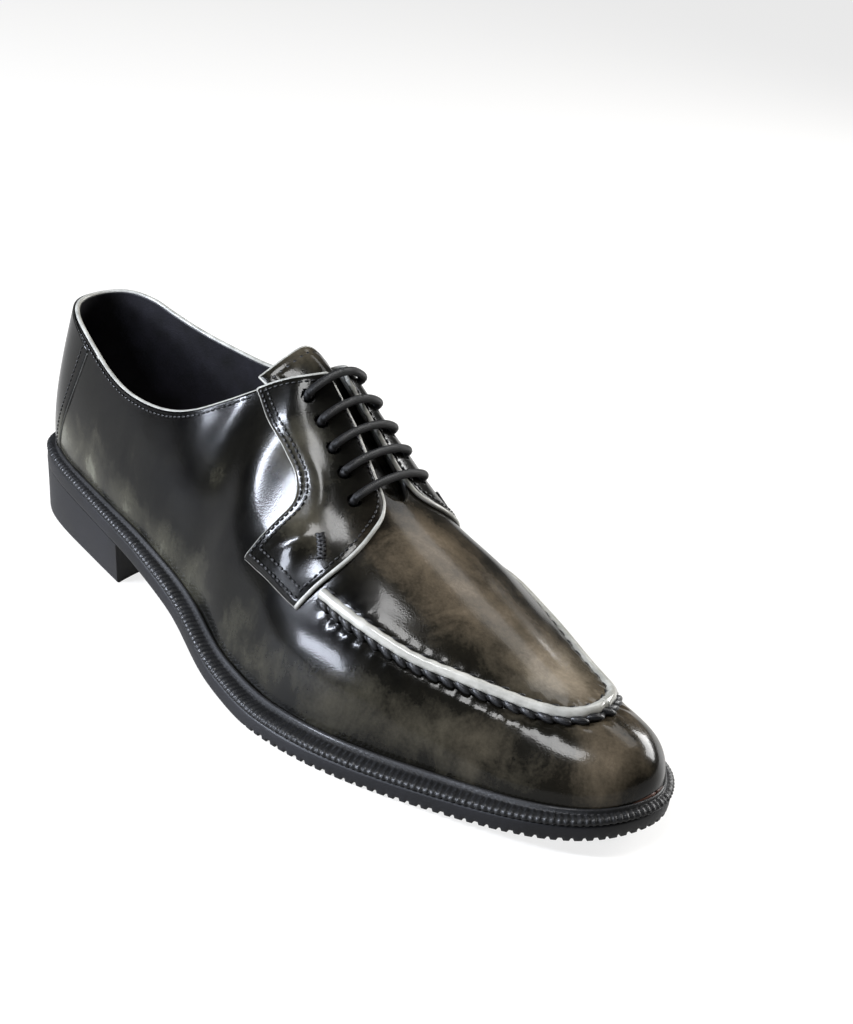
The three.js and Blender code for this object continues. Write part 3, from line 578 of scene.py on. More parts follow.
def stitches(name, runs, material, slot_name, length, thick, pitch, tilt=0.0, high=0.7, lift=0.0):
    """Short rounded stitches laid in rows: runs is a list of (path, normals)."""
    bm = bmesh.new()
    for path, normals in runs:
        points, ahead, ups = along_path(path, normals, pitch, pitch * 0.5)
        for point, forward, up in zip(points, ahead, ups):
            forward, up = Vector(forward), Vector(up)
            forward = (forward - up * forward.dot(up)).normalized()
            forward = Matrix.Rotation(math.radians(tilt), 3, up) @ forward
            across = up.cross(forward)
            turn = Matrix((forward, across, up)).transposed().to_4x4()
            size = Matrix.Diagonal((length * 5e-4, thick * 5e-4, thick * 5e-4 * high, 1))
            spot = Matrix.Translation(Vector(to_frame(point)) + up * (lift * 0.001))
            shape = spot @ turn @ size @ POLE
            bmesh.ops.create_uvsphere(bm, u_segments=8, v_segments=6, radius=1, matrix=shape)
    return settle(link(bm, name, [material]), slot_name)


POLE = Matrix.Rotation(math.radians(90), 4, "Y")


# Materials
def linear(text):
    """An sRGB hex colour as linear numbers with alpha."""
    parts = [int(text[i : i + 2], 16) / 255 for i in (1, 3, 5)]
    return tuple(c / 12.92 if c <= 0.04045 else ((c + 0.055) / 1.055) ** 2.4 for c in parts) + (1.0,)


def add(tree, kind, settings=None, inputs=None):
    """A node with its settings, and its inputs set or linked."""
    node = tree.nodes.new(kind)
    for name, value in (settings or {}).items():
        setattr(node, name, value)
    for name, value in (inputs or {}).items():
        if isinstance(value, bpy.types.NodeSocket):
            tree.links.new(value, node.inputs[name])
        else:
            node.inputs[name].default_value = value
    return node


def ramp(tree, value, stops, mode="LINEAR"):
    node = add(tree, "ShaderNodeValToRGB", inputs={"Fac": value})
    node.color_ramp.interpolation = mode
    points = node.color_ramp.elements
    while len(points) < len(stops):
        points.new(0.5)
    for point, (place, colour) in zip(points, stops):
        point.position = place
        point.color = linear(colour) if isinstance(colour, str) else (colour, colour, colour, 1)
    return node.outputs["Color"]


def material_base(name):
    material = bpy.data.materials.new(name)
    material.use_nodes = True
    tree = material.node_tree
    shader = tree.nodes["Principled BSDF"]
    place = add(tree, "ShaderNodeTexCoord").outputs["Object"]
    return material, tree, shader, place


def math_node(tree, operation, first, second=0.0):
    return add(tree, "ShaderNodeMath", {"operation": operation}, {0: first, 1: second}).outputs[0]


def noise(tree, place, size, detail=3.0, rough=0.5, stretch=(1, 1, 1), twist=0.0):
    """Noise whose patches are about size mm."""
    scale = 1000 / size
    mapped = add(tree, "ShaderNodeMapping", inputs={"Vector": place, "Scale": stretch}).outputs[0]
    return add(
        tree, "ShaderNodeTexNoise",
        inputs={"Vector": mapped, "Scale": scale, "Detail": detail, "Roughness": rough, "Distortion": twist},
    ).outputs["Fac"]


# Distance in mm between the pores of the calf
PORE_PITCH = 0.55


def patina_calf():
    """Hand-patinated calf: aniline dye rubbed on in clouds and waxed, so dark, deep and glossy. Its tone and
    warm attributes also carry a painted reflection of the floor low on the walls and a partly painted sheen on
    the lateral facing.
    """
    material, tree, shader, place = material_base("Hand-patinated calf with painted light")
    tone = add(tree, "ShaderNodeAttribute", {"attribute_name": "tone"}).outputs["Fac"]
    warm = add(tree, "ShaderNodeAttribute", {"attribute_name": "warm"}).outputs["Fac"]
    clouds = noise(tree, place, 21, 4, 0.58, (1, 1, 0.8), 0.8)
    strokes = noise(tree, place, 6, 5, 0.62, (1, 1, 0.4), 0.5)
    fine = noise(tree, place, 1.1, 3, 0.6)
    shifted = tone
    for patches, weight in ((clouds, 0.62), (strokes, 0.26), (fine, 0.16)):
        swing = math_node(tree, "SUBTRACT", patches, 0.5)
        shifted = math_node(tree, "ADD", shifted, math_node(tree, "MULTIPLY", swing, weight))
    greys = ("#020202", "#090907", "#292922", "#5f6054", "#939387")
    browns = ("#050403", "#1a1711", "#4c4336", "#796b5a", "#ab9c84")
    places = (0.0, 0.25, 0.5, 0.75, 1.0)
    grey, brown = (ramp(tree, shifted, list(zip(places, row))) for row in (greys, browns))
    colour = add(tree, "ShaderNodeMix", {"data_type": "RGBA"}, {0: warm, 6: grey, 7: brown}).outputs[2]
    tree.links.new(colour, shader.inputs["Base Color"])
    gloss = math_node(tree, "ADD", math_node(tree, "MULTIPLY", strokes, 0.1), 0.14)
    tree.links.new(gloss, shader.inputs["Roughness"])
    shader.inputs["IOR"].default_value = 1.18
    shader.inputs["Coat Weight"].default_value = 0.45
    shader.inputs["Coat IOR"].default_value = 1.3
    shader.inputs["Coat Roughness"].default_value = 0.06
    pores = add(tree, "ShaderNodeTexVoronoi", inputs={"Vector": place, "Scale": 1000 / PORE_PITCH})
    waves = noise(tree, place, 8, 1, 0.4)
    grain = math_node(tree, "MULTIPLY", pores.outputs["Distance"], 0.06)
    high = math_node(tree, "ADD", grain, math_node(tree, "MULTIPLY", waves, 0.16))
    for socket, strength in (("Normal", 0.4), ("Coat Normal", 0.16)):
        bump = add(tree, "ShaderNodeBump", inputs={"Height": high, "Strength": strength, "Distance": 0.001})
        tree.links.new(bump.outputs[0], shader.inputs[socket])
    return material


def plain_leather(name, dark, light, size, rough, coat, bump_size, bump_strength):
    """An evenly dyed material: faint patches, darker and lighter, under a fine grain."""
    material, tree, shader, place = material_base(name)
    patches = noise(tree, place, size, 4, 0.6)
    tree.links.new(ramp(tree, patches, [(0.3, dark), (0.7, light)]), shader.inputs["Base Color"])
    fine = noise(tree, place, bump_size, 4, 0.6)
    dull = math_node(tree, "ADD", math_node(tree, "MULTIPLY", patches, 0.15), rough - 0.07)
    tree.links.new(dull, shader.inputs["Roughness"])
    shader.inputs["IOR"].default_value = 1.33
    shader.inputs["Coat Weight"].default_value = coat
    shader.inputs["Coat Roughness"].default_value = 0.15
    bump = add(tree, "ShaderNodeBump", inputs={"Height": fine, "Strength": bump_strength, "Distance": 0.0005})
    tree.links.new(bump.outputs[0], shader.inputs["Normal"])
    return material


def waxed_cord(name, dark, light, pitch):
    """Waxed thread or lace: fine strands slanting round it, u round and w along."""
    material, tree, shader, _ = material_base(name)
    uv = add(tree, "ShaderNodeUVMap", {"uv_map": "UVMap"}).outputs[0]
    slanted = {"Vector": uv, "Rotation": (0, 0, 0.6), "Scale": (6, pitch, 1)}
    mapped = add(tree, "ShaderNodeMapping", inputs=slanted)
    strands = add(
        tree, "ShaderNodeTexWave", {"wave_type": "BANDS", "bands_direction": "X"},
        {"Vector": mapped.outputs[0], "Scale": 1.0, "Distortion": 0.6, "Detail": 2.0},
    ).outputs["Fac"]
    tree.links.new(ramp(tree, strands, [(0.2, dark), (0.9, light)]), shader.inputs["Base Color"])
    shader.inputs["Roughness"].default_value = 0.5
    shader.inputs["IOR"].default_value = 1.33
    bump = add(tree, "ShaderNodeBump", inputs={"Height": strands, "Strength": 0.5, "Distance": 0.0003})
    tree.links.new(bump.outputs[0], shader.inputs["Normal"])
    return material


MATERIALS = {}


def make_materials():
    MATERIALS["calf"] = patina_calf()
    MATERIALS["lining"] = plain_leather("Black lining calf", "#0a0a0a", "#16151a", 12, 0.5, 0.0, 0.6, 0.3)
    # A cut edge, dyed pale grey and waxed
    MATERIALS["edge"] = plain_leather("Pale cut edge", "#74736d", "#9b9a93", 5, 0.38, 0.3, 0.5, 0.2)
    MATERIALS["piping"] = plain_leather("Pale grey piping calf", "#7f7e77", "#a3a199", 9, 0.26, 0.8, 0.7, 0.2)
    MATERIALS["dark_edge"] = plain_leather("Dark cut edge", "#141412", "#2e2d29", 4, 0.45, 0.2, 0.5, 0.3)
    MATERIALS["thread"] = plain_leather("Black waxed thread", "#050505", "#0d0d0f", 0.8, 0.42, 0.2, 0.35, 0.4)
    MATERIALS["welt"] = plain_leather("Black wheeled welt", "#050505", "#0e0e0f", 6, 0.5, 0.15, 0.5, 0.4)
    MATERIALS["sole"] = plain_leather("Moulded rubber sole", "#0b0b0c", "#141417", 22, 0.5, 0.05, 0.7, 0.15)
    MATERIALS["sock"] = plain_leather("Brown sock leather", "#2c170e", "#4b2a1a", 14, 0.5, 0.1, 0.8, 0.4)
    MATERIALS["lace"] = waxed_cord("Black waxed lace", "#060606", "#161617", 30)


# Upper
def upper_place(u, w):
    t = u * LOOP
    share = edge_share(t)
    v = w * share
    base = skin(t, v)
    relief = upper_relief(base)
    ridge = curve("ridge", t)
    closed = (share >= 1) & (w >= 1)
    points = base + skin_normal(t, v) * relief[:, None]
    points[closed, 1] = ridge[closed]
    return points


# Tone and warmth for every vertex, painted floor reflection and facing sheen included.
def patina_and_painted_light_layers(points):
    tone, warm = patina_and_painted_light(points)
    return {"tone": tone, "warm": warm}


def make_upper():
    size = bpy.context.scene.derby_shoe
    bm = shaped_grid(size.loop_columns, 84, upper_place, patina_and_painted_light_layers)
    piece = link(bm, "calf_upper", [MATERIALS["calf"], MATERIALS["lining"], MATERIALS["dark_edge"]])
    thicken(piece, size.wall * 1000 - 0.2, rim=2, inner=1)
    return settle(piece, "patina_calf", "upper")


def edge_run(t_from, t_to, count, below=0.0, out=0.0):
    """A path along the cut edge: t may pass 0 at the heel; below is mm under the edge."""
    t = np.linspace(t_from, t_to, count) % LOOP
    share = edge_share(t)
    height = np.linalg.norm(skin(t, share) - skin(t, share - 0.05), axis=1) / 0.05
    v = share - below / height
    return off_skin(t, v, np.full(count, out)), skin_normal(t, v)


def make_collar():
    size = bpy.context.scene.derby_shoe
    start, end = facing_corner(-1), facing_corner(1) - LOOP
    path, normals = edge_run(end, start, 260, 0.2, -1.0)
    bead = tube("collar_bead", path, size.bead * 500, MATERIALS["edge"], 10, 1.0, normals)
    settle(bead, "pale_piping")
    row, ups = edge_run(end + 0.1, start - 0.1, 260, 2.0, 0.2)
    stitches("collar_stitches", [(row, ups)], MATERIALS["thread"], "lace", 1.9, 0.95, 2.25)


# Facings
def facing_corner(side):
    """The t where the facing's rear edge meets the collar."""
    t, _ = facing_tv(np.array([0.0]), np.array([0.0]), side)
    return float(t[0])


def facing_edge(at, rear, side):
    knots = np.linspace(0, 1, len(FACING_ROWS))
    column = 0 if rear else 2
    x = SOLE_LENGTH * smooth_row(knots, FACING_ROWS[:, column], at)
    v = np.minimum(smooth_row(knots, FACING_ROWS[:, column + 1], at), 0.999)
    t = station_at(x, v, side)
    share = edge_share(t)
    capped = station_at(x, share, side)
    return np.where(v < share, t, capped), np.minimum(v, share)


FACING_EDGES = {}
EDGE_STEPS = np.linspace(0, 1, 401)


def facing_tv(a, b, side):
    """t and v on a facing: a from its top down, b from its rear edge forward."""
    if side not in FACING_EDGES:
        FACING_EDGES[side] = [facing_edge(EDGE_STEPS, rear, side) for rear in (True, False)]
    rear, front = FACING_EDGES[side]
    rear_t, rear_v = (np.interp(a, EDGE_STEPS, values) for values in rear)
    front_t, front_v = (np.interp(a, EDGE_STEPS, values) for values in front)
    top_t = mix(rear[0][0], front[0][0], b)
    top_v = mix(rear[1][0], front[1][0], b)
    pull = edge_share(top_t) - top_v
    t = mix(rear_t, front_t, b)
    v = np.minimum(mix(rear_v, front_v, b) + pull * (1 - a) ** 2, edge_share(t))
    return t, v


FACING_GRIDS = {}


def facing_grid(side):
    """Points of the facing's skin on a fixed fine grid, worked out once."""
    if side not in FACING_GRIDS:
        a, b = np.meshgrid(np.linspace(0, 1, 61), np.linspace(0, 1, 41), indexing="ij")
        t, v = facing_tv(a.ravel(), b.ravel(), side)
        points = skin(t, v).reshape(61, 41, 3)
        widths = np.linalg.norm(np.diff(points, axis=1), axis=2).sum(1)
        heights = np.linalg.norm(np.diff(points, axis=0), axis=2).sum(0)
        FACING_GRIDS[side] = (widths, heights)
    return FACING_GRIDS[side]


def facing_borders(a, b, side):
    """Distances in mm from the rear, front, top and bottom edges."""
    widths, heights = facing_grid(side)
    width = np.interp(a, np.linspace(0, 1, 61), widths)
    height = np.interp(b, np.linspace(0, 1, 41), heights)
    return b * width, (1 - b) * width, a * height, (1 - a) * height


def facing_height(a, b, side):
    """Height of the facing's face over the skin, with its skived edges, stitch troughs and folds."""
    rear, front, top, bottom = facing_borders(a, b, side)
    skived = 1 - 0.55 * np.exp(-rear / 0.9) - 0.55 * np.exp(-bottom / 0.9)
    skived -= 0.2 * np.exp(-front / 0.8) + 0.2 * np.exp(-top / 0.8)
    near_rear = np.exp(-(((rear - 3.3) / 2.2) ** 2))
    near_foot = np.exp(-(((bottom - 3.3) / 2.2) ** 2))
    trough = 0.3 * np.maximum(near_rear, near_foot)
    fold = 0.22 * np.exp(-(((rear - 9.5) / 2.2) ** 2)) * smooth_step(0.3, 0.55, a)
    bulge = 1.5 * np.exp(-(((rear - 13.5) / 4.5) ** 2) - ((bottom - 11.0) / 5.0) ** 2)
    return 0.15 + FACING_WALL * skived - trough + fold + bulge


def facing_place(side):
    def place(u, w):
        a = 1 - w
        b = u if side < 0 else 1 - u
        t, v = facing_tv(a, b, side)
        return off_skin(t, v, facing_height(a, b, side))

    return place


def inset_run(side, edge, distance, start, end, count=140, out=0.0):
    """A path that keeps a distance in mm from one edge of a facing."""
    widths, heights = facing_grid(side)
    s = np.linspace(start, end, count)
    if edge in ("rear", "front"):
        width = np.interp(s, np.linspace(0, 1, 61), widths)
        b = distance / width if edge == "rear" else 1 - distance / width
        a = s
    else:
        height = np.interp(s, np.linspace(0, 1, 41), heights)
        a = distance / height if edge == "top" else 1 - distance / height
        b = s
    t, v = facing_tv(a, b, side)
    return off_skin(t, v, facing_height(a, b, side) + out), skin_normal(t, v)


def eyelet_spot(x, v, side):
    t = station_at(np.array([x * SOLE_LENGTH]), np.array([v]), side)
    return t, np.array([v])


def punch_eyelets(piece, side):
    """Cuts the five lace holes and keeps the result as the facing's mesh."""
    bm = bmesh.new()
    for x, v in EYELETS:
        t, v = eyelet_spot(x, v, side)
        middle = Vector(to_frame(off_skin(t, v, np.array([1.0]))[0]))
        normal = Vector(skin_normal(t, v)[0])
        turn = normal.to_track_quat("Z", "Y").to_matrix().to_4x4()
        bmesh.ops.create_cone(
            bm, cap_ends=True, segments=28, radius1=EYELET_DIAMETER * 5e-4, radius2=EYELET_DIAMETER * 5e-4,
            depth=0.008, matrix=Matrix.Translation(middle) @ turn,
        )
    for face in bm.faces:
        face.material_index = 1
    cutter = link(bm, "eyelet_cutter", [MATERIALS["calf"], MATERIALS["dark_edge"]], smooth=False)
    cut = piece.modifiers.new("Eyelets", "BOOLEAN")
    cut.object = cutter
    cut.operation = "DIFFERENCE"
    cut.solver = "EXACT"
    bpy.context.view_layer.update()
    graph = bpy.context.evaluated_depsgraph_get()
    mesh = bpy.data.meshes.new_from_object(piece.evaluated_get(graph), depsgraph=graph)
    piece.modifiers.clear()
    piece.data = mesh
    bpy.data.objects.remove(cutter)


# Pale edges of a facing: name, edge, inset, points, height over the face, radius and sides
FACING_RIMS = [
    ("front", "front", 0.1, 200, -0.75, 1.0, 10),
    ("top", "top", 0.1, 80, -0.75, 0.9, 10),
    ("foot", "bottom", 0.05, 80, -0.5, 0.4, 8),
    ("rear", "rear", 0.05, 200, -0.35, 0.36, 8),
]


def make_facing(side_name):
    side = SIDES[side_name]
    bm = shaped_grid(64, 110, facing_place(side), patina_and_painted_light_layers)
    piece = link(bm, f"calf_facing_{side_name}", [MATERIALS["calf"], MATERIALS["dark_edge"]])
    thicken(piece, 1.5, rim=1)
    punch_eyelets(piece, side)
    settle(piece, "patina_calf", f"facing_{side_name}")
    for name, edge, inset, count, out, radius, sides in FACING_RIMS:
        path, ups = inset_run(side, edge, inset, 0.0, 1.0, count, out)
        bead = tube(f"facing_{name}_edge_{side_name}", path, radius, MATERIALS["edge"], sides, 0.9, ups)
        settle(bead, "pale_piping")
    rows = [inset_run(side, "rear", d, 0.01, end, 180, 0.25) for d, end in ((1.9, 0.985), (4.3, 0.955))]
    rows += [inset_run(side, "bottom", d, start, 0.95, 80, 0.25) for d, start in ((1.9, 0.06), (4.3, 0.14))]
    stitches(f"facing_double_stitches_{side_name}", rows, MATERIALS["thread"], "lace", 1.85, 1.05, 2.3)
    rows = [inset_run(side, "top", 2.2, 0.08, 0.93, 80, 0.2)]
    rows += [inset_run(side, "front", 2.4, 0.06, 0.97, 180, 0.2)]
    stitches(f"facing_single_stitches_{side_name}", rows, MATERIALS["thread"], "lace", 1.7, 0.75, 2.3)
    tack = facing_tack(side)
    for name, tilt in (("bar", 62), ("cross", -62)):
        whole = f"facing_{name}_tack_{side_name}"
        stitches(whole, tack, MATERIALS["thread"], "lace", 3.8, 1.35, 1.5, tilt, 0.9)


def facing_tack(side):
    """The short bar of close stitches that locks the facing's front corner."""
    s = np.linspace(0, 1, 12)
    a = mix(0.80, 0.87, s)
    b = mix(0.56, 0.80, s)
    t, v = facing_tv(a, b, side)
    return [(off_skin(t, v, facing_height(a, b, side) + 0.35), skin_normal(t, v))]


# Back strip
def strip_place(out):
    def place(u, w):
        across = 2 * u - 1
        top = edge_share(across * STRIP_TOP_HALF) - 0.004
        v = w * top + 0.012 * (1 - w)
        half = mix(STRIP_FOOT_HALF, STRIP_TOP_HALF, v)
        edge = np.minimum(1 - np.abs(across), 1) * 20
        height = 0.75 * (1 - 0.7 * np.exp(-edge / 0.8)) + out
        t = (across * half) % LOOP
        return off_skin(t, v, height)

    return place


def strip_run(across, out):
    w = np.linspace(0.01, 0.98, 90)
    u = np.full(90, (across + 1) / 2)
    path = strip_place(out)(u, w)
    t = np.full(90, (across * STRIP_TOP_HALF) % LOOP)
    return path, skin_normal(t, w * 0.8)


def make_back_strip():
    bm = shaped_grid(72, 90, strip_place(0.0), patina_and_painted_light_layers)
    piece = link(bm, "calf_back_strip", [MATERIALS["calf"], MATERIALS["dark_edge"]])
    thicken(piece, 0.8, rim=1)
    settle(piece, "patina_calf", "back_strip")
    rows = [strip_run(s, 0.1) for s in (-0.92, 0.92)]
    stitches("back_strip_stitches", rows, MATERIALS["thread"], "lace", 1.7, 0.65, 2.2)
    seams = [strip_run(s, -0.35) for s in (-1.0, 1.0)]
    for name, (path, ups) in zip(("lateral", "medial"), seams):
        settle(tube(f"back_strip_edge_{name}", path, 0.5, MATERIALS["dark_edge"], 8, 1, ups), "patina_calf")


# Apron seam
def apron_offset(across, height):
    return APRON_POINTS + APRON_INWARD * across + APRON_NORMALS * height


def make_apron():
    count = APRON_COUNT - 1
    half = PIPING_WIDTH / 2

    def place(u, w):
        i = np.round(w * count).astype(int)
        a = np.pi * (1 - u)
        wobble = 1 + 0.06 * np.sin(2 * np.pi * APRON_RUN[i] / SADDLE_PITCH)
        across = np.cos(a) * half * wobble
        height = np.sin(a) ** 0.8 * (PIPING_HEIGHT + 0.5) - 0.1
        return APRON_POINTS[i] + APRON_INWARD[i] * across[:, None] + APRON_NORMALS[i] * height[:, None]

    bm = shaped_grid(14, count, place)
    close_ends(bm)
    piping = link(bm, "apron_piping", [MATERIALS["piping"]])
    settle(piping, "pale_piping", "apron_seam")
    # Black tubes beside the piping, in the trough outside and the crease inside: partly the thread's run,
    # partly painted shade of the seam between the stitches.
    for name, across, height, radius in (("outer", -2.6, 0.0, 0.95), ("inner", 2.4, 0.15, 0.45)):
        path = apron_offset(across, height)
        cord_and_shade = tube(f"apron_{name}_cord", path, radius, MATERIALS["thread"], 8, 0.8, APRON_NORMALS)
        settle(cord_and_shade, "lace")
    outer = [(apron_offset(-2.75, 0.3), APRON_NORMALS)]
    stitches("apron_saddle_stitches", outer, MATERIALS["thread"], "lace", 6.6, 2.9, SADDLE_PITCH, -20, 0.9)
    inner = [(apron_offset(2.25, 0.75), APRON_NORMALS)]
    stitches("apron_inner_stitches", inner, MATERIALS["thread"], "lace", 3.4, 1.15, SADDLE_PITCH, 12, 0.9)


# Tongue
TONGUE_COLUMNS, TONGUE_ROWS = 60, 90
TONGUE_EDGE_START = 0.6


def tongue_skin():
    """The tongue's face as a grid: it lies under the ridge and runs straight on above the facings."""
    rows, columns = (np.linspace(0, 1, count + 1) for count in (TONGUE_ROWS, TONGUE_COLUMNS))
    w, u = np.meshgrid(rows, columns, indexing="ij")
    y = (2 * u - 1) * mix(TONGUE_FOOT_WIDTH, TONGUE_WIDTH, w) / 2
    bottom = THROAT_X + TONGUE_TUCK
    x = mix(bottom, bottom - TONGUE_LENGTH - TONGUE_TOP_ROUND * y * y, w)
    t, v = seat(np.maximum(x, TONGUE_FREE_X), TONGUE_SHIFT + y)
    points = off_skin(t, v, np.full(t.shape, -UPPER_WALL - 4 * FIT))
    free = np.maximum(TONGUE_FREE_X - x, 0)
    points[..., 0] -= free
    points[..., 2] += free * TONGUE_SLOPE
    for _ in range(60):
        beside = points[:, :-2] + points[:, 2:]
        points[:, 1:-1] = mix(points[:, 1:-1], beside / 2, 0.5)
        around = points[:-2] + points[2:]
        points[1:-1] = mix(points[1:-1], around / 2, 0.5)
    points[..., 1] += (2 * u - 1) * TONGUE_FLARE * smooth_step(2, 12, free)
    normals = unit(np.cross(np.gradient(points, axis=1), np.gradient(points, axis=0)))
    return points, normals


def make_tongue():
    skin_points, normals = tongue_skin()

    def place(u, w):
        i = np.round(w * TONGUE_ROWS).astype(int)
        j = np.round(u * TONGUE_COLUMNS).astype(int)
        edge = np.minimum(np.minimum(u, 1 - u) * TONGUE_WIDTH, (1 - w) * TONGUE_LENGTH)
        pad = 0.45 * (1 - np.exp(-edge / 1.2)) - 0.3 * np.exp(-(((edge - 3.0) / 0.8) ** 2))
        return skin_points[i, j] + normals[i, j] * pad[:, None]

    bm = shaped_grid(TONGUE_COLUMNS, TONGUE_ROWS, place, patina_and_painted_light_layers)
    piece = link(bm, "calf_tongue", [MATERIALS["calf"], MATERIALS["lining"], MATERIALS["edge"]])
    thicken(piece, TONGUE_WALL, rim=2, inner=1)
    settle(piece, "patina_calf", "tongue")
    start = int(TONGUE_ROWS * TONGUE_EDGE_START)
    rim = [(i, 0) for i in range(start, TONGUE_ROWS)]
    rim += [(TONGUE_ROWS, j) for j in range(TONGUE_COLUMNS)]
    rim += [(i, TONGUE_COLUMNS) for i in range(TONGUE_ROWS, start, -1)]
    i, j = np.array(rim).T
    path = skin_points[i, j] - normals[i, j] * 0.3
    settle(tube("tongue_edge", path, 0.5, MATERIALS["edge"], 8, 1, normals[i, j]), "pale_piping")
    row = TONGUE_ROWS - 5
    path, ups = skin_points[row, 3:-3] + normals[row, 3:-3] * 0.15, normals[row, 3:-3]
    stitches("tongue_pinholes", [(path, ups)], MATERIALS["thread"], "lace", 1.3, 1.3, 3.2, 0, 0.3)


# Laces
def lace_path(x, v):
    """The same route as the solid bar: out of one eyelet, over both facings and into the other."""
    over = OVERLAY_FIT + FACING_WALL + FIT + LACE_DIAMETER / 2
    lift = [(0, OVERLAY_FIT - 1.0), (0.04, over - 0.7), (0.45, over - 0.5), (0.85, over - 1.0)]
    points = []
    for side, steps in ((-1, lift), (1, lift[::-1])):
        for share, height in steps:
            place = mix(v, 1, share)
            t = station_at(np.array([x * SOLE_LENGTH]), np.array([place]), side)
            points.append(off_skin(t, np.array([place]), np.array([height]))[0])
    points = np.array(points)
    run = np.concatenate([[0], np.cumsum(np.linalg.norm(np.diff(points, axis=0), axis=1) ** 0.5)])
    at = np.linspace(0, run[-1], 60)
    return np.stack([smooth_row(run, points[:, k], at) for k in range(3)], -1)


def make_laces():
    size = bpy.context.scene.derby_shoe
    for i, (x, v) in enumerate(EYELETS, 1):
        path = lace_path(x, v)
        ups = np.tile(unit(np.array([0.6, 0.0, 0.8])), (len(path), 1))
        bar = tube(f"lace_{i}", path, size.lace * 500, MATERIALS["lace"], 16, 1, ups)
        settle(bar, "lace", f"lace_bar_{i}")


# Welt, sole, heel and sock
RIB_PITCH = 2.2
TOOTH_PITCH = 3.9


def loop_run():
    """The sole's outline at even steps: a t for every share of its length."""
    fine = np.linspace(0, LOOP, 4001)
    points = np.stack([curve("sole_x", fine), curve("sole_y", fine)], -1)
    run = np.concatenate([[0], np.cumsum(np.linalg.norm(np.diff(points, axis=0), axis=1))])
    return fine, run


def ring_piece(name, columns, section, material, slot_name, *nodes):
    """A closed ring round the sole; section(t, run) gives rows of (inset, height over the underside)."""
    fine, run = loop_run()
    rows = len(section(np.zeros(1), np.zeros(1)))

    def place(u, w):
        length = u * run[-1]
        t = np.interp(length, run, fine)
        steps = section(t, length)
        j = np.round(w * rows).astype(int) % rows
        inset = np.choose(j, [s[0] for s in steps])
        height = np.choose(j, [s[1] for s in steps])
        spot = edge_point(t, inset)
        return np.stack([spot[:, 0], spot[:, 1], sole_bottom(spot[:, 0]) + height], -1)

    bm = shaped_grid(columns, rows, place)
    bmesh.ops.recalc_face_normals(bm, faces=bm.faces)
    return settle(link(bm, name, [material]), slot_name, *nodes)


def welt_section(t, length):
    """A wheeled storm welt: ribs across its shelf and a serrated edge."""
    reach = curve("reach", t)
    rib = np.abs(np.sin(np.pi * length / RIB_PITCH)) ** 0.7
    under = OUTSOLE_THICKNESS + FIT * 0.3
    shelf = OUTSOLE_THICKNESS + WELT_THICKNESS + 0.4
    crest = reach - 0.5
    rise = shelf + WELT_RISE - 0.2
    zero = np.zeros_like(reach)
    return [
        (0.7 - 0.75 * rib, under + zero),
        (0.3 - 0.85 * rib + zero, under + 0.7 + zero),
        (0.5 - 0.8 * rib, shelf - 0.5 + zero),
        (1.1 - 0.5 * rib, shelf - 0.35 + 0.8 * rib),
        (reach * 0.42, shelf - 0.05 + 0.85 * rib),
        (reach * 0.6, shelf + 0.3 + 0.5 * rib),
        (reach * 0.72, shelf + 0.75 + 0.1 * rib),
        (crest - 0.7, rise - 0.7 + zero),
        (crest - 0.1, rise - 0.1 + zero),
        (crest + 0.5, rise - 0.3 + zero),
        (crest + 0.6, shelf - 1.0 + zero),
        (reach + UPPER_WALL, shelf - 1.0 + zero),
        (reach + UPPER_WALL, under + zero),
    ]


def tread_depth(t, length):
    """Fine teeth along the bottom edge, under the forefoot only."""
    x = curve("sole_x", t)
    zone = smooth_step(178, 190, x)
    tooth = (np.sin(2 * np.pi * length / TOOTH_PITCH) > 0.45).astype(float)
    return zone * tooth


def outsole_section(t, length):
    tooth = tread_depth(t, length)
    zero = np.zeros_like(tooth)
    top = OUTSOLE_THICKNESS
    return [
        (zero + 9, top + zero),
        (zero + 0.7, top + zero),
        (zero + 0.2, top - 0.25 + zero),
        (zero, top - 0.9 + zero),
        (zero, 3.2 + zero),
        (zero, 1.9 + zero),
        (0.05 + 0.3 * tooth, 1.4 + zero),
        (0.15 + 0.7 * tooth, 0.4 + 0.5 * tooth),
        (0.6 + 0.9 * tooth, 0.05 + 0.8 * tooth),
        (4.2 + zero, 0.05 + 0.8 * tooth),
        (5.0 + zero, 0.05 + zero),
        (zero + 9, 0.05 + zero),
    ]


def slab_bottom(u, w):
    """The outsole's underside inside its toothed rim, lateral to medial and heel to toe."""
    t = w * TOE
    inset = np.full(len(t), 4.4)
    left = edge_point(t, inset)
    right = edge_point((LOOP - t) % LOOP, inset)
    spot = mix(left, right, u[:, None])
    x = spot[:, 0]
    forefoot = smooth_step(184, 194, x) * (1 - smooth_step(296, 302, x))
    bars = (np.sin(2 * np.pi * x / 7.0) > 0.25) * smooth_step(0.06, 0.1, np.minimum(u, 1 - u))
    return np.stack([x, spot[:, 1], sole_bottom(x) + 0.06 + 0.9 * forefoot * bars], -1)


def make_sole():
    ring_piece("welt_wheeled", 1120, welt_section, MATERIALS["welt"], "welt_leather", "welt")
    ring_piece("outsole_edge", 1200, outsole_section, MATERIALS["sole"], "sole_rubber", "outsole")
    bm = shaped_grid(24, 360, slab_bottom)
    piece = link(bm, "outsole_tread", [MATERIALS["sole"]], smooth=False)
    thicken(piece, 3.5)
    settle(piece, "sole_rubber")


def heel_across(level, inset):
    """A face across the heel at one level, lateral to medial, from the heel back to the breast."""
    breast = BREAST_SHARE * SOLE_LENGTH
    fine = np.linspace(0, 8, 2001)
    t_breast = np.interp(breast, curve("sole_x", fine), fine)

    def place(u, w):
        t = t_breast * w**1.15
        left = edge_point(t, np.full(len(t), inset))
        right = edge_point((LOOP - t) % LOOP, np.full(len(t), inset))
        spot = mix(left, right, u[:, None])
        x = spot[:, 0] - w**6 * BREAST_HOLLOW * 4 * u * (1 - u)
        return np.stack([x, spot[:, 1], (sole_bottom(x) - 0.05) * level], -1)

    return place


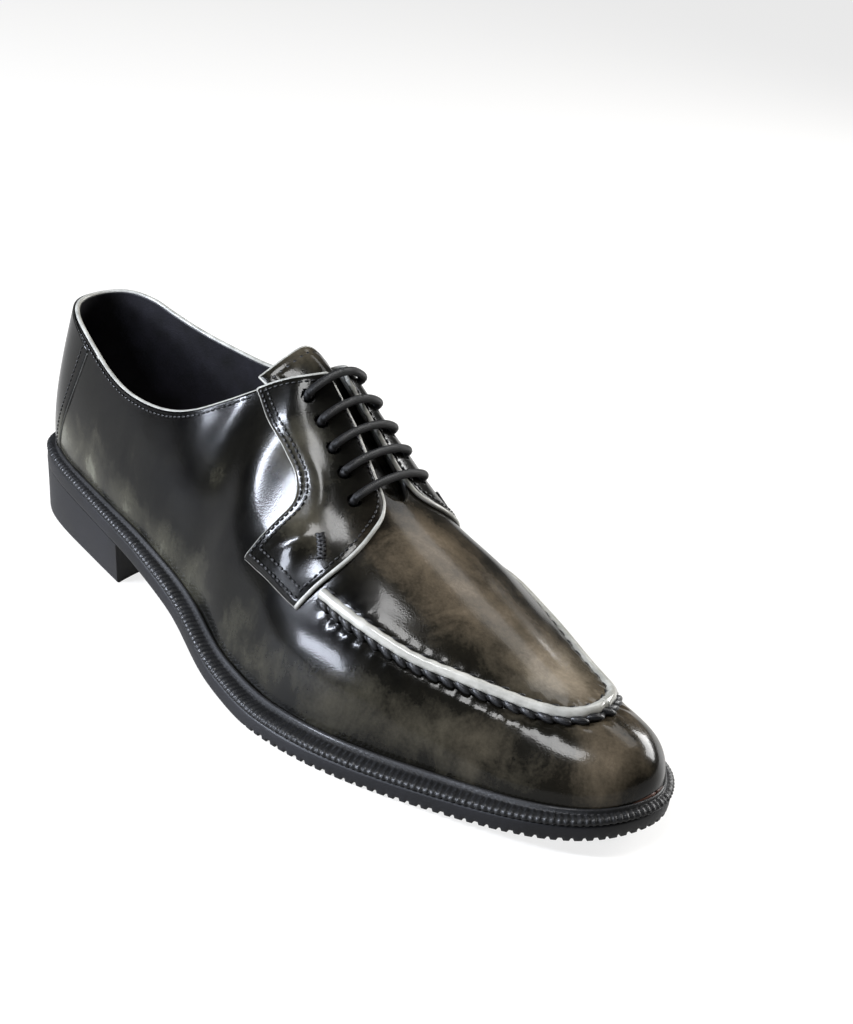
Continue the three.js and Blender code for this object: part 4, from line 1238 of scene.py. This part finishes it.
def make_heel():
    """The heel as stacked levels joined into one wall, closed above and below."""
    levels = [
        (1.0, 0.35), (0.97, 0.3), (0.5, 1.2), (0.07, HEEL_TAPER - 0.05),
        (0.02, HEEL_TAPER + 0.2), (0.0, HEEL_TAPER + 0.9),
    ]
    top = heel_across(*levels[0])
    columns, rows = 16, 60
    bm = shaped_grid(columns, rows, top)
    rim = boundary_loop(columns, rows)
    stacks = [heel_across(*level)(rim[:, 0], rim[:, 1]) for level in levels]

    def wall(u, w):
        i = np.round(u * len(rim)).astype(int) % len(rim)
        j = np.round(w * (len(levels) - 1)).astype(int)
        return np.stack([stacks[b][a] for a, b in zip(i, j)])

    side = shaped_grid(len(rim), len(levels) - 1, wall)
    base = shaped_grid(columns, rows, heel_across(*levels[-1]))
    for other in (side, base):
        mesh = bpy.data.meshes.new("part")
        other.to_mesh(mesh)
        other.free()
        bm.from_mesh(mesh)
        bpy.data.meshes.remove(mesh)
    bmesh.ops.remove_doubles(bm, verts=bm.verts, dist=2e-5)
    bmesh.ops.recalc_face_normals(bm, faces=bm.faces)
    piece = link(bm, "heel_moulded", [MATERIALS["sole"]])
    piece.data.set_sharp_from_angle(angle=math.radians(40))
    return settle(piece, "sole_rubber", "heel_block")


def boundary_loop(columns, rows):
    """u and w round the border of a grid, in order."""
    u = np.arange(columns + 1) / columns
    w = np.arange(rows + 1) / rows
    parts = [
        np.stack([u[:-1], np.zeros(columns)], -1), np.stack([np.ones(rows), w[:-1]], -1),
        np.stack([u[:0:-1], np.ones(columns)], -1), np.stack([np.zeros(rows), w[:0:-1]], -1),
    ]
    return np.concatenate(parts)


def make_sock():
    def place(u, w):
        t = 0.02 + w * (TOE - 0.04)
        inset = curve("reach", t) + UPPER_WALL + 0.2
        other = (LOOP - t) % LOOP
        left = edge_point(t, inset)
        right = edge_point(other, curve("reach", other) + UPPER_WALL + 0.2)
        spot = mix(left, right, u[:, None])
        dish = 1.6 * (2 * u - 1) ** 4
        top = OUTSOLE_THICKNESS + FIT + 4.0
        return np.stack([spot[:, 0], spot[:, 1], sole_bottom(spot[:, 0]) + top + dish], -1)

    bm = shaped_grid(24, 140, place)
    bmesh.ops.reverse_faces(bm, faces=bm.faces)
    piece = link(bm, "sock", [MATERIALS["sock"]])
    thicken(piece, 3.0)
    return settle(piece, "sock_leather", "insole")


# Stage
# The share of the floor's own light that reflections get
FLOOR_REFLECTED = 0.4


def make_stage():
    size = bpy.context.scene.derby_stage
    floor_material, tree, shader, _ = material_base("Pale paper floor")
    shader.inputs["Base Color"].default_value = tuple(size.floor_colour) + (1.0,)
    shader.inputs["Roughness"].default_value = 0.6
    shader.inputs["Emission Color"].default_value = (1, 1, 1, 1)
    seen = add(tree, "ShaderNodeLightPath").outputs["Is Camera Ray"]
    share = math_node(tree, "ADD", math_node(tree, "MULTIPLY", seen, 1 - FLOOR_REFLECTED), FLOOR_REFLECTED)
    tree.links.new(math_node(tree, "MULTIPLY", share, size.floor_glow), shader.inputs["Emission Strength"])
    bm = bmesh.new()
    bmesh.ops.create_grid(bm, x_segments=1, y_segments=1, size=6)
    floor = link(bm, "floor", [floor_material], smooth=False)
    world = bpy.data.worlds.new("Studio")
    bpy.context.scene.world = world
    world.use_nodes = True
    back = world.node_tree.nodes["Background"]
    back.inputs["Color"].default_value = linear("#fbfbfb")
    seen = add(world.node_tree, "ShaderNodeLightPath").outputs["Is Camera Ray"]
    glow = math_node(world.node_tree, "MULTIPLY", seen, size.backdrop)
    world.node_tree.links.new(math_node(world.node_tree, "ADD", glow, size.world), back.inputs["Strength"])
    for name, spot, width, height, slant, power, colour in LAMPS:
        lamp = bpy.data.lights.new(name, "AREA")
        lamp.shape = "RECTANGLE"
        lamp.size, lamp.size_y = width, height
        lamp.energy = power
        lamp.color = linear(colour)[:3]
        holder = bpy.data.objects.new(name, lamp)
        bpy.context.scene.collection.objects.link(holder)
        holder.location = spot
        holder.rotation_mode = "QUATERNION"
        aim = (Vector((0.02, -0.02, 0.05)) - Vector(spot)).to_track_quat("-Z", "Y")
        holder.rotation_quaternion = aim @ Quaternion((0, 0, 1), slant)
    bpy.context.scene.view_settings.view_transform = "Standard"
    make_camera()


# Soft boxes: place, width and height in metres, slant in radians, power in watts and colour
LAMPS = [
    ("side_window", (-0.56, -0.97, 0.74), 0.13, 0.9, -0.5, 42, "#e9f0ff"),
    ("low_window", (-0.4, -1.18, 0.28), 0.42, 0.17, 0.3, 13, "#e9f0ff"),
    ("overhead_box", (0.12, -0.44, 1.4), 0.34, 0.34, 0.0, 10, "#ffffff"),
    ("far_box", (0.05, 0.95, 1.35), 1.0, 0.4, 0.0, 5, "#ffffff"),
    ("inner_box", (0.45, 1.2, 0.6), 0.9, 0.5, 0.0, 26, "#ffffff"),
]


# The photograph's view: turned, above the floor and rolled in degrees, place in mm, lens in mm
VIEW_ANGLES = (38.48, 25.38, 9.04)
VIEW_SPOT = (489.3, -365.5, 295.6)
VIEW_LENS = 1513.0 / 1024 * 36


def make_camera():
    turn, rise, roll = (math.radians(a) for a in VIEW_ANGLES)
    back = Vector((math.sin(turn) * math.cos(rise), -math.cos(turn) * math.cos(rise), math.sin(rise)))
    right = Vector((math.cos(turn), math.sin(turn), 0))
    up = back.cross(right)
    across = right * math.cos(roll) + up * math.sin(roll)
    upward = up * math.cos(roll) - right * math.sin(roll)
    data = bpy.data.cameras.new("camera")
    data.sensor_width = 36
    data.lens = VIEW_LENS
    data.clip_start, data.clip_end = 0.01, 50
    camera = bpy.data.objects.new("camera", data)
    bpy.context.scene.collection.objects.link(camera)
    rotation = Matrix((across, upward, back)).transposed().to_4x4()
    spot = to_frame(VIEW_SPOT)
    camera.matrix_world = Matrix.Translation(Vector(spot)) @ rotation
    bpy.context.scene.camera = camera


# Settings, operators and panel
class ShoeSettings(bpy.types.PropertyGroup):
    wall: FloatProperty(
        name="Wall", description="Thickness of calf and lining", default=0.0022, unit="LENGTH"
    )
    bead: FloatProperty(
        name="Bead", description="Thickness of the collar's rolled edge", default=0.0019, unit="LENGTH"
    )
    lace: FloatProperty(
        name="Lace", description="Diameter of the round lace", default=0.0031, unit="LENGTH"
    )
    loop_columns: IntProperty(name="Columns", description="Faces round the upper", default=400, min=80)


class StageSettings(bpy.types.PropertyGroup):
    floor_colour: FloatVectorProperty(
        name="Floor", description="Colour of the floor", subtype="COLOR", size=3, default=linear("#7c7a76")[:3]
    )
    floor_glow: FloatProperty(name="Floor glow", description="Light of the floor itself", default=0.78, min=0)
    world: FloatProperty(
        name="World", description="Strength of the soft surrounding light", default=0.08, min=0
    )
    backdrop: FloatProperty(
        name="Backdrop", description="How bright the wall behind looks", default=0.75, min=0
    )


class SHOE_OT_materials(bpy.types.Operator):
    """Make the leathers, thread, lace and rubber"""

    bl_idname = "shoe.materials"
    bl_label = "Materials"

    def execute(self, context):
        make_materials()
        return {"FINISHED"}


class SHOE_OT_upper(bpy.types.Operator):
    """Make the hollow upper with its collar bead and stitches"""

    bl_idname = "shoe.upper"
    bl_label = "Upper"

    def execute(self, context):
        make_upper()
        make_collar()
        return {"FINISHED"}


class SHOE_OT_facings(bpy.types.Operator):
    """Make both eyelet facings with their edges and stitches"""

    bl_idname = "shoe.facings"
    bl_label = "Facings"

    def execute(self, context):
        for name in SIDES:
            make_facing(name)
        return {"FINISHED"}


class SHOE_OT_back_strip(bpy.types.Operator):
    """Make the strip over the back seam"""

    bl_idname = "shoe.back_strip"
    bl_label = "Back strip"

    def execute(self, context):
        make_back_strip()
        return {"FINISHED"}


class SHOE_OT_apron(bpy.types.Operator):
    """Make the piping and the hand stitches of the apron seam"""

    bl_idname = "shoe.apron"
    bl_label = "Apron seam"

    def execute(self, context):
        make_apron()
        return {"FINISHED"}


class SHOE_OT_tongue(bpy.types.Operator):
    """Make the tongue"""

    bl_idname = "shoe.tongue"
    bl_label = "Tongue"

    def execute(self, context):
        make_tongue()
        return {"FINISHED"}


class SHOE_OT_laces(bpy.types.Operator):
    """Make the five bars of lace"""

    bl_idname = "shoe.laces"
    bl_label = "Laces"

    def execute(self, context):
        make_laces()
        return {"FINISHED"}


class SHOE_OT_sole(bpy.types.Operator):
    """Make the welt, outsole, heel and sock"""

    bl_idname = "shoe.sole"
    bl_label = "Welt, sole and heel"

    def execute(self, context):
        make_sole()
        make_heel()
        make_sock()
        return {"FINISHED"}


class SHOE_OT_stage(bpy.types.Operator):
    """Make the floor, the lights and the camera"""

    bl_idname = "shoe.stage"
    bl_label = "Stage"

    def execute(self, context):
        make_stage()
        return {"FINISHED"}


PIECES = (
    SHOE_OT_materials, SHOE_OT_upper, SHOE_OT_facings, SHOE_OT_back_strip, SHOE_OT_apron,
    SHOE_OT_tongue, SHOE_OT_laces, SHOE_OT_sole, SHOE_OT_stage,
)


class SHOE_PT_panel(bpy.types.Panel):
    """Lists the shoe's pieces"""

    bl_idname = "SHOE_PT_panel"
    bl_label = "Apron derby"
    bl_space_type = "VIEW_3D"
    bl_region_type = "UI"
    bl_category = "Shoe"

    def draw(self, context):
        settings = context.scene.derby_shoe
        for name in ("wall", "bead", "lace", "loop_columns"):
            self.layout.prop(settings, name)
        for name in ("floor_colour", "floor_glow", "world", "backdrop"):
            self.layout.prop(context.scene.derby_stage, name)
        for piece in PIECES:
            self.layout.operator(piece.bl_idname)


CLASSES = (ShoeSettings, StageSettings, *PIECES, SHOE_PT_panel)


def register():
    for item in CLASSES:
        bpy.utils.register_class(item)
    bpy.types.Scene.derby_shoe = PointerProperty(type=ShoeSettings)
    bpy.types.Scene.derby_stage = PointerProperty(type=StageSettings)


def unregister():
    del bpy.types.Scene.derby_stage
    del bpy.types.Scene.derby_shoe
    for item in reversed(CLASSES):
        bpy.utils.unregister_class(item)


def main():
    register()
    bpy.ops.shoe.materials()
    bpy.ops.shoe.upper()
    bpy.ops.shoe.facings()
    bpy.ops.shoe.back_strip()
    bpy.ops.shoe.apron()
    bpy.ops.shoe.tongue()
    bpy.ops.shoe.laces()
    bpy.ops.shoe.sole()
    bpy.ops.shoe.stage()


if __name__ == "__main__":
    main()
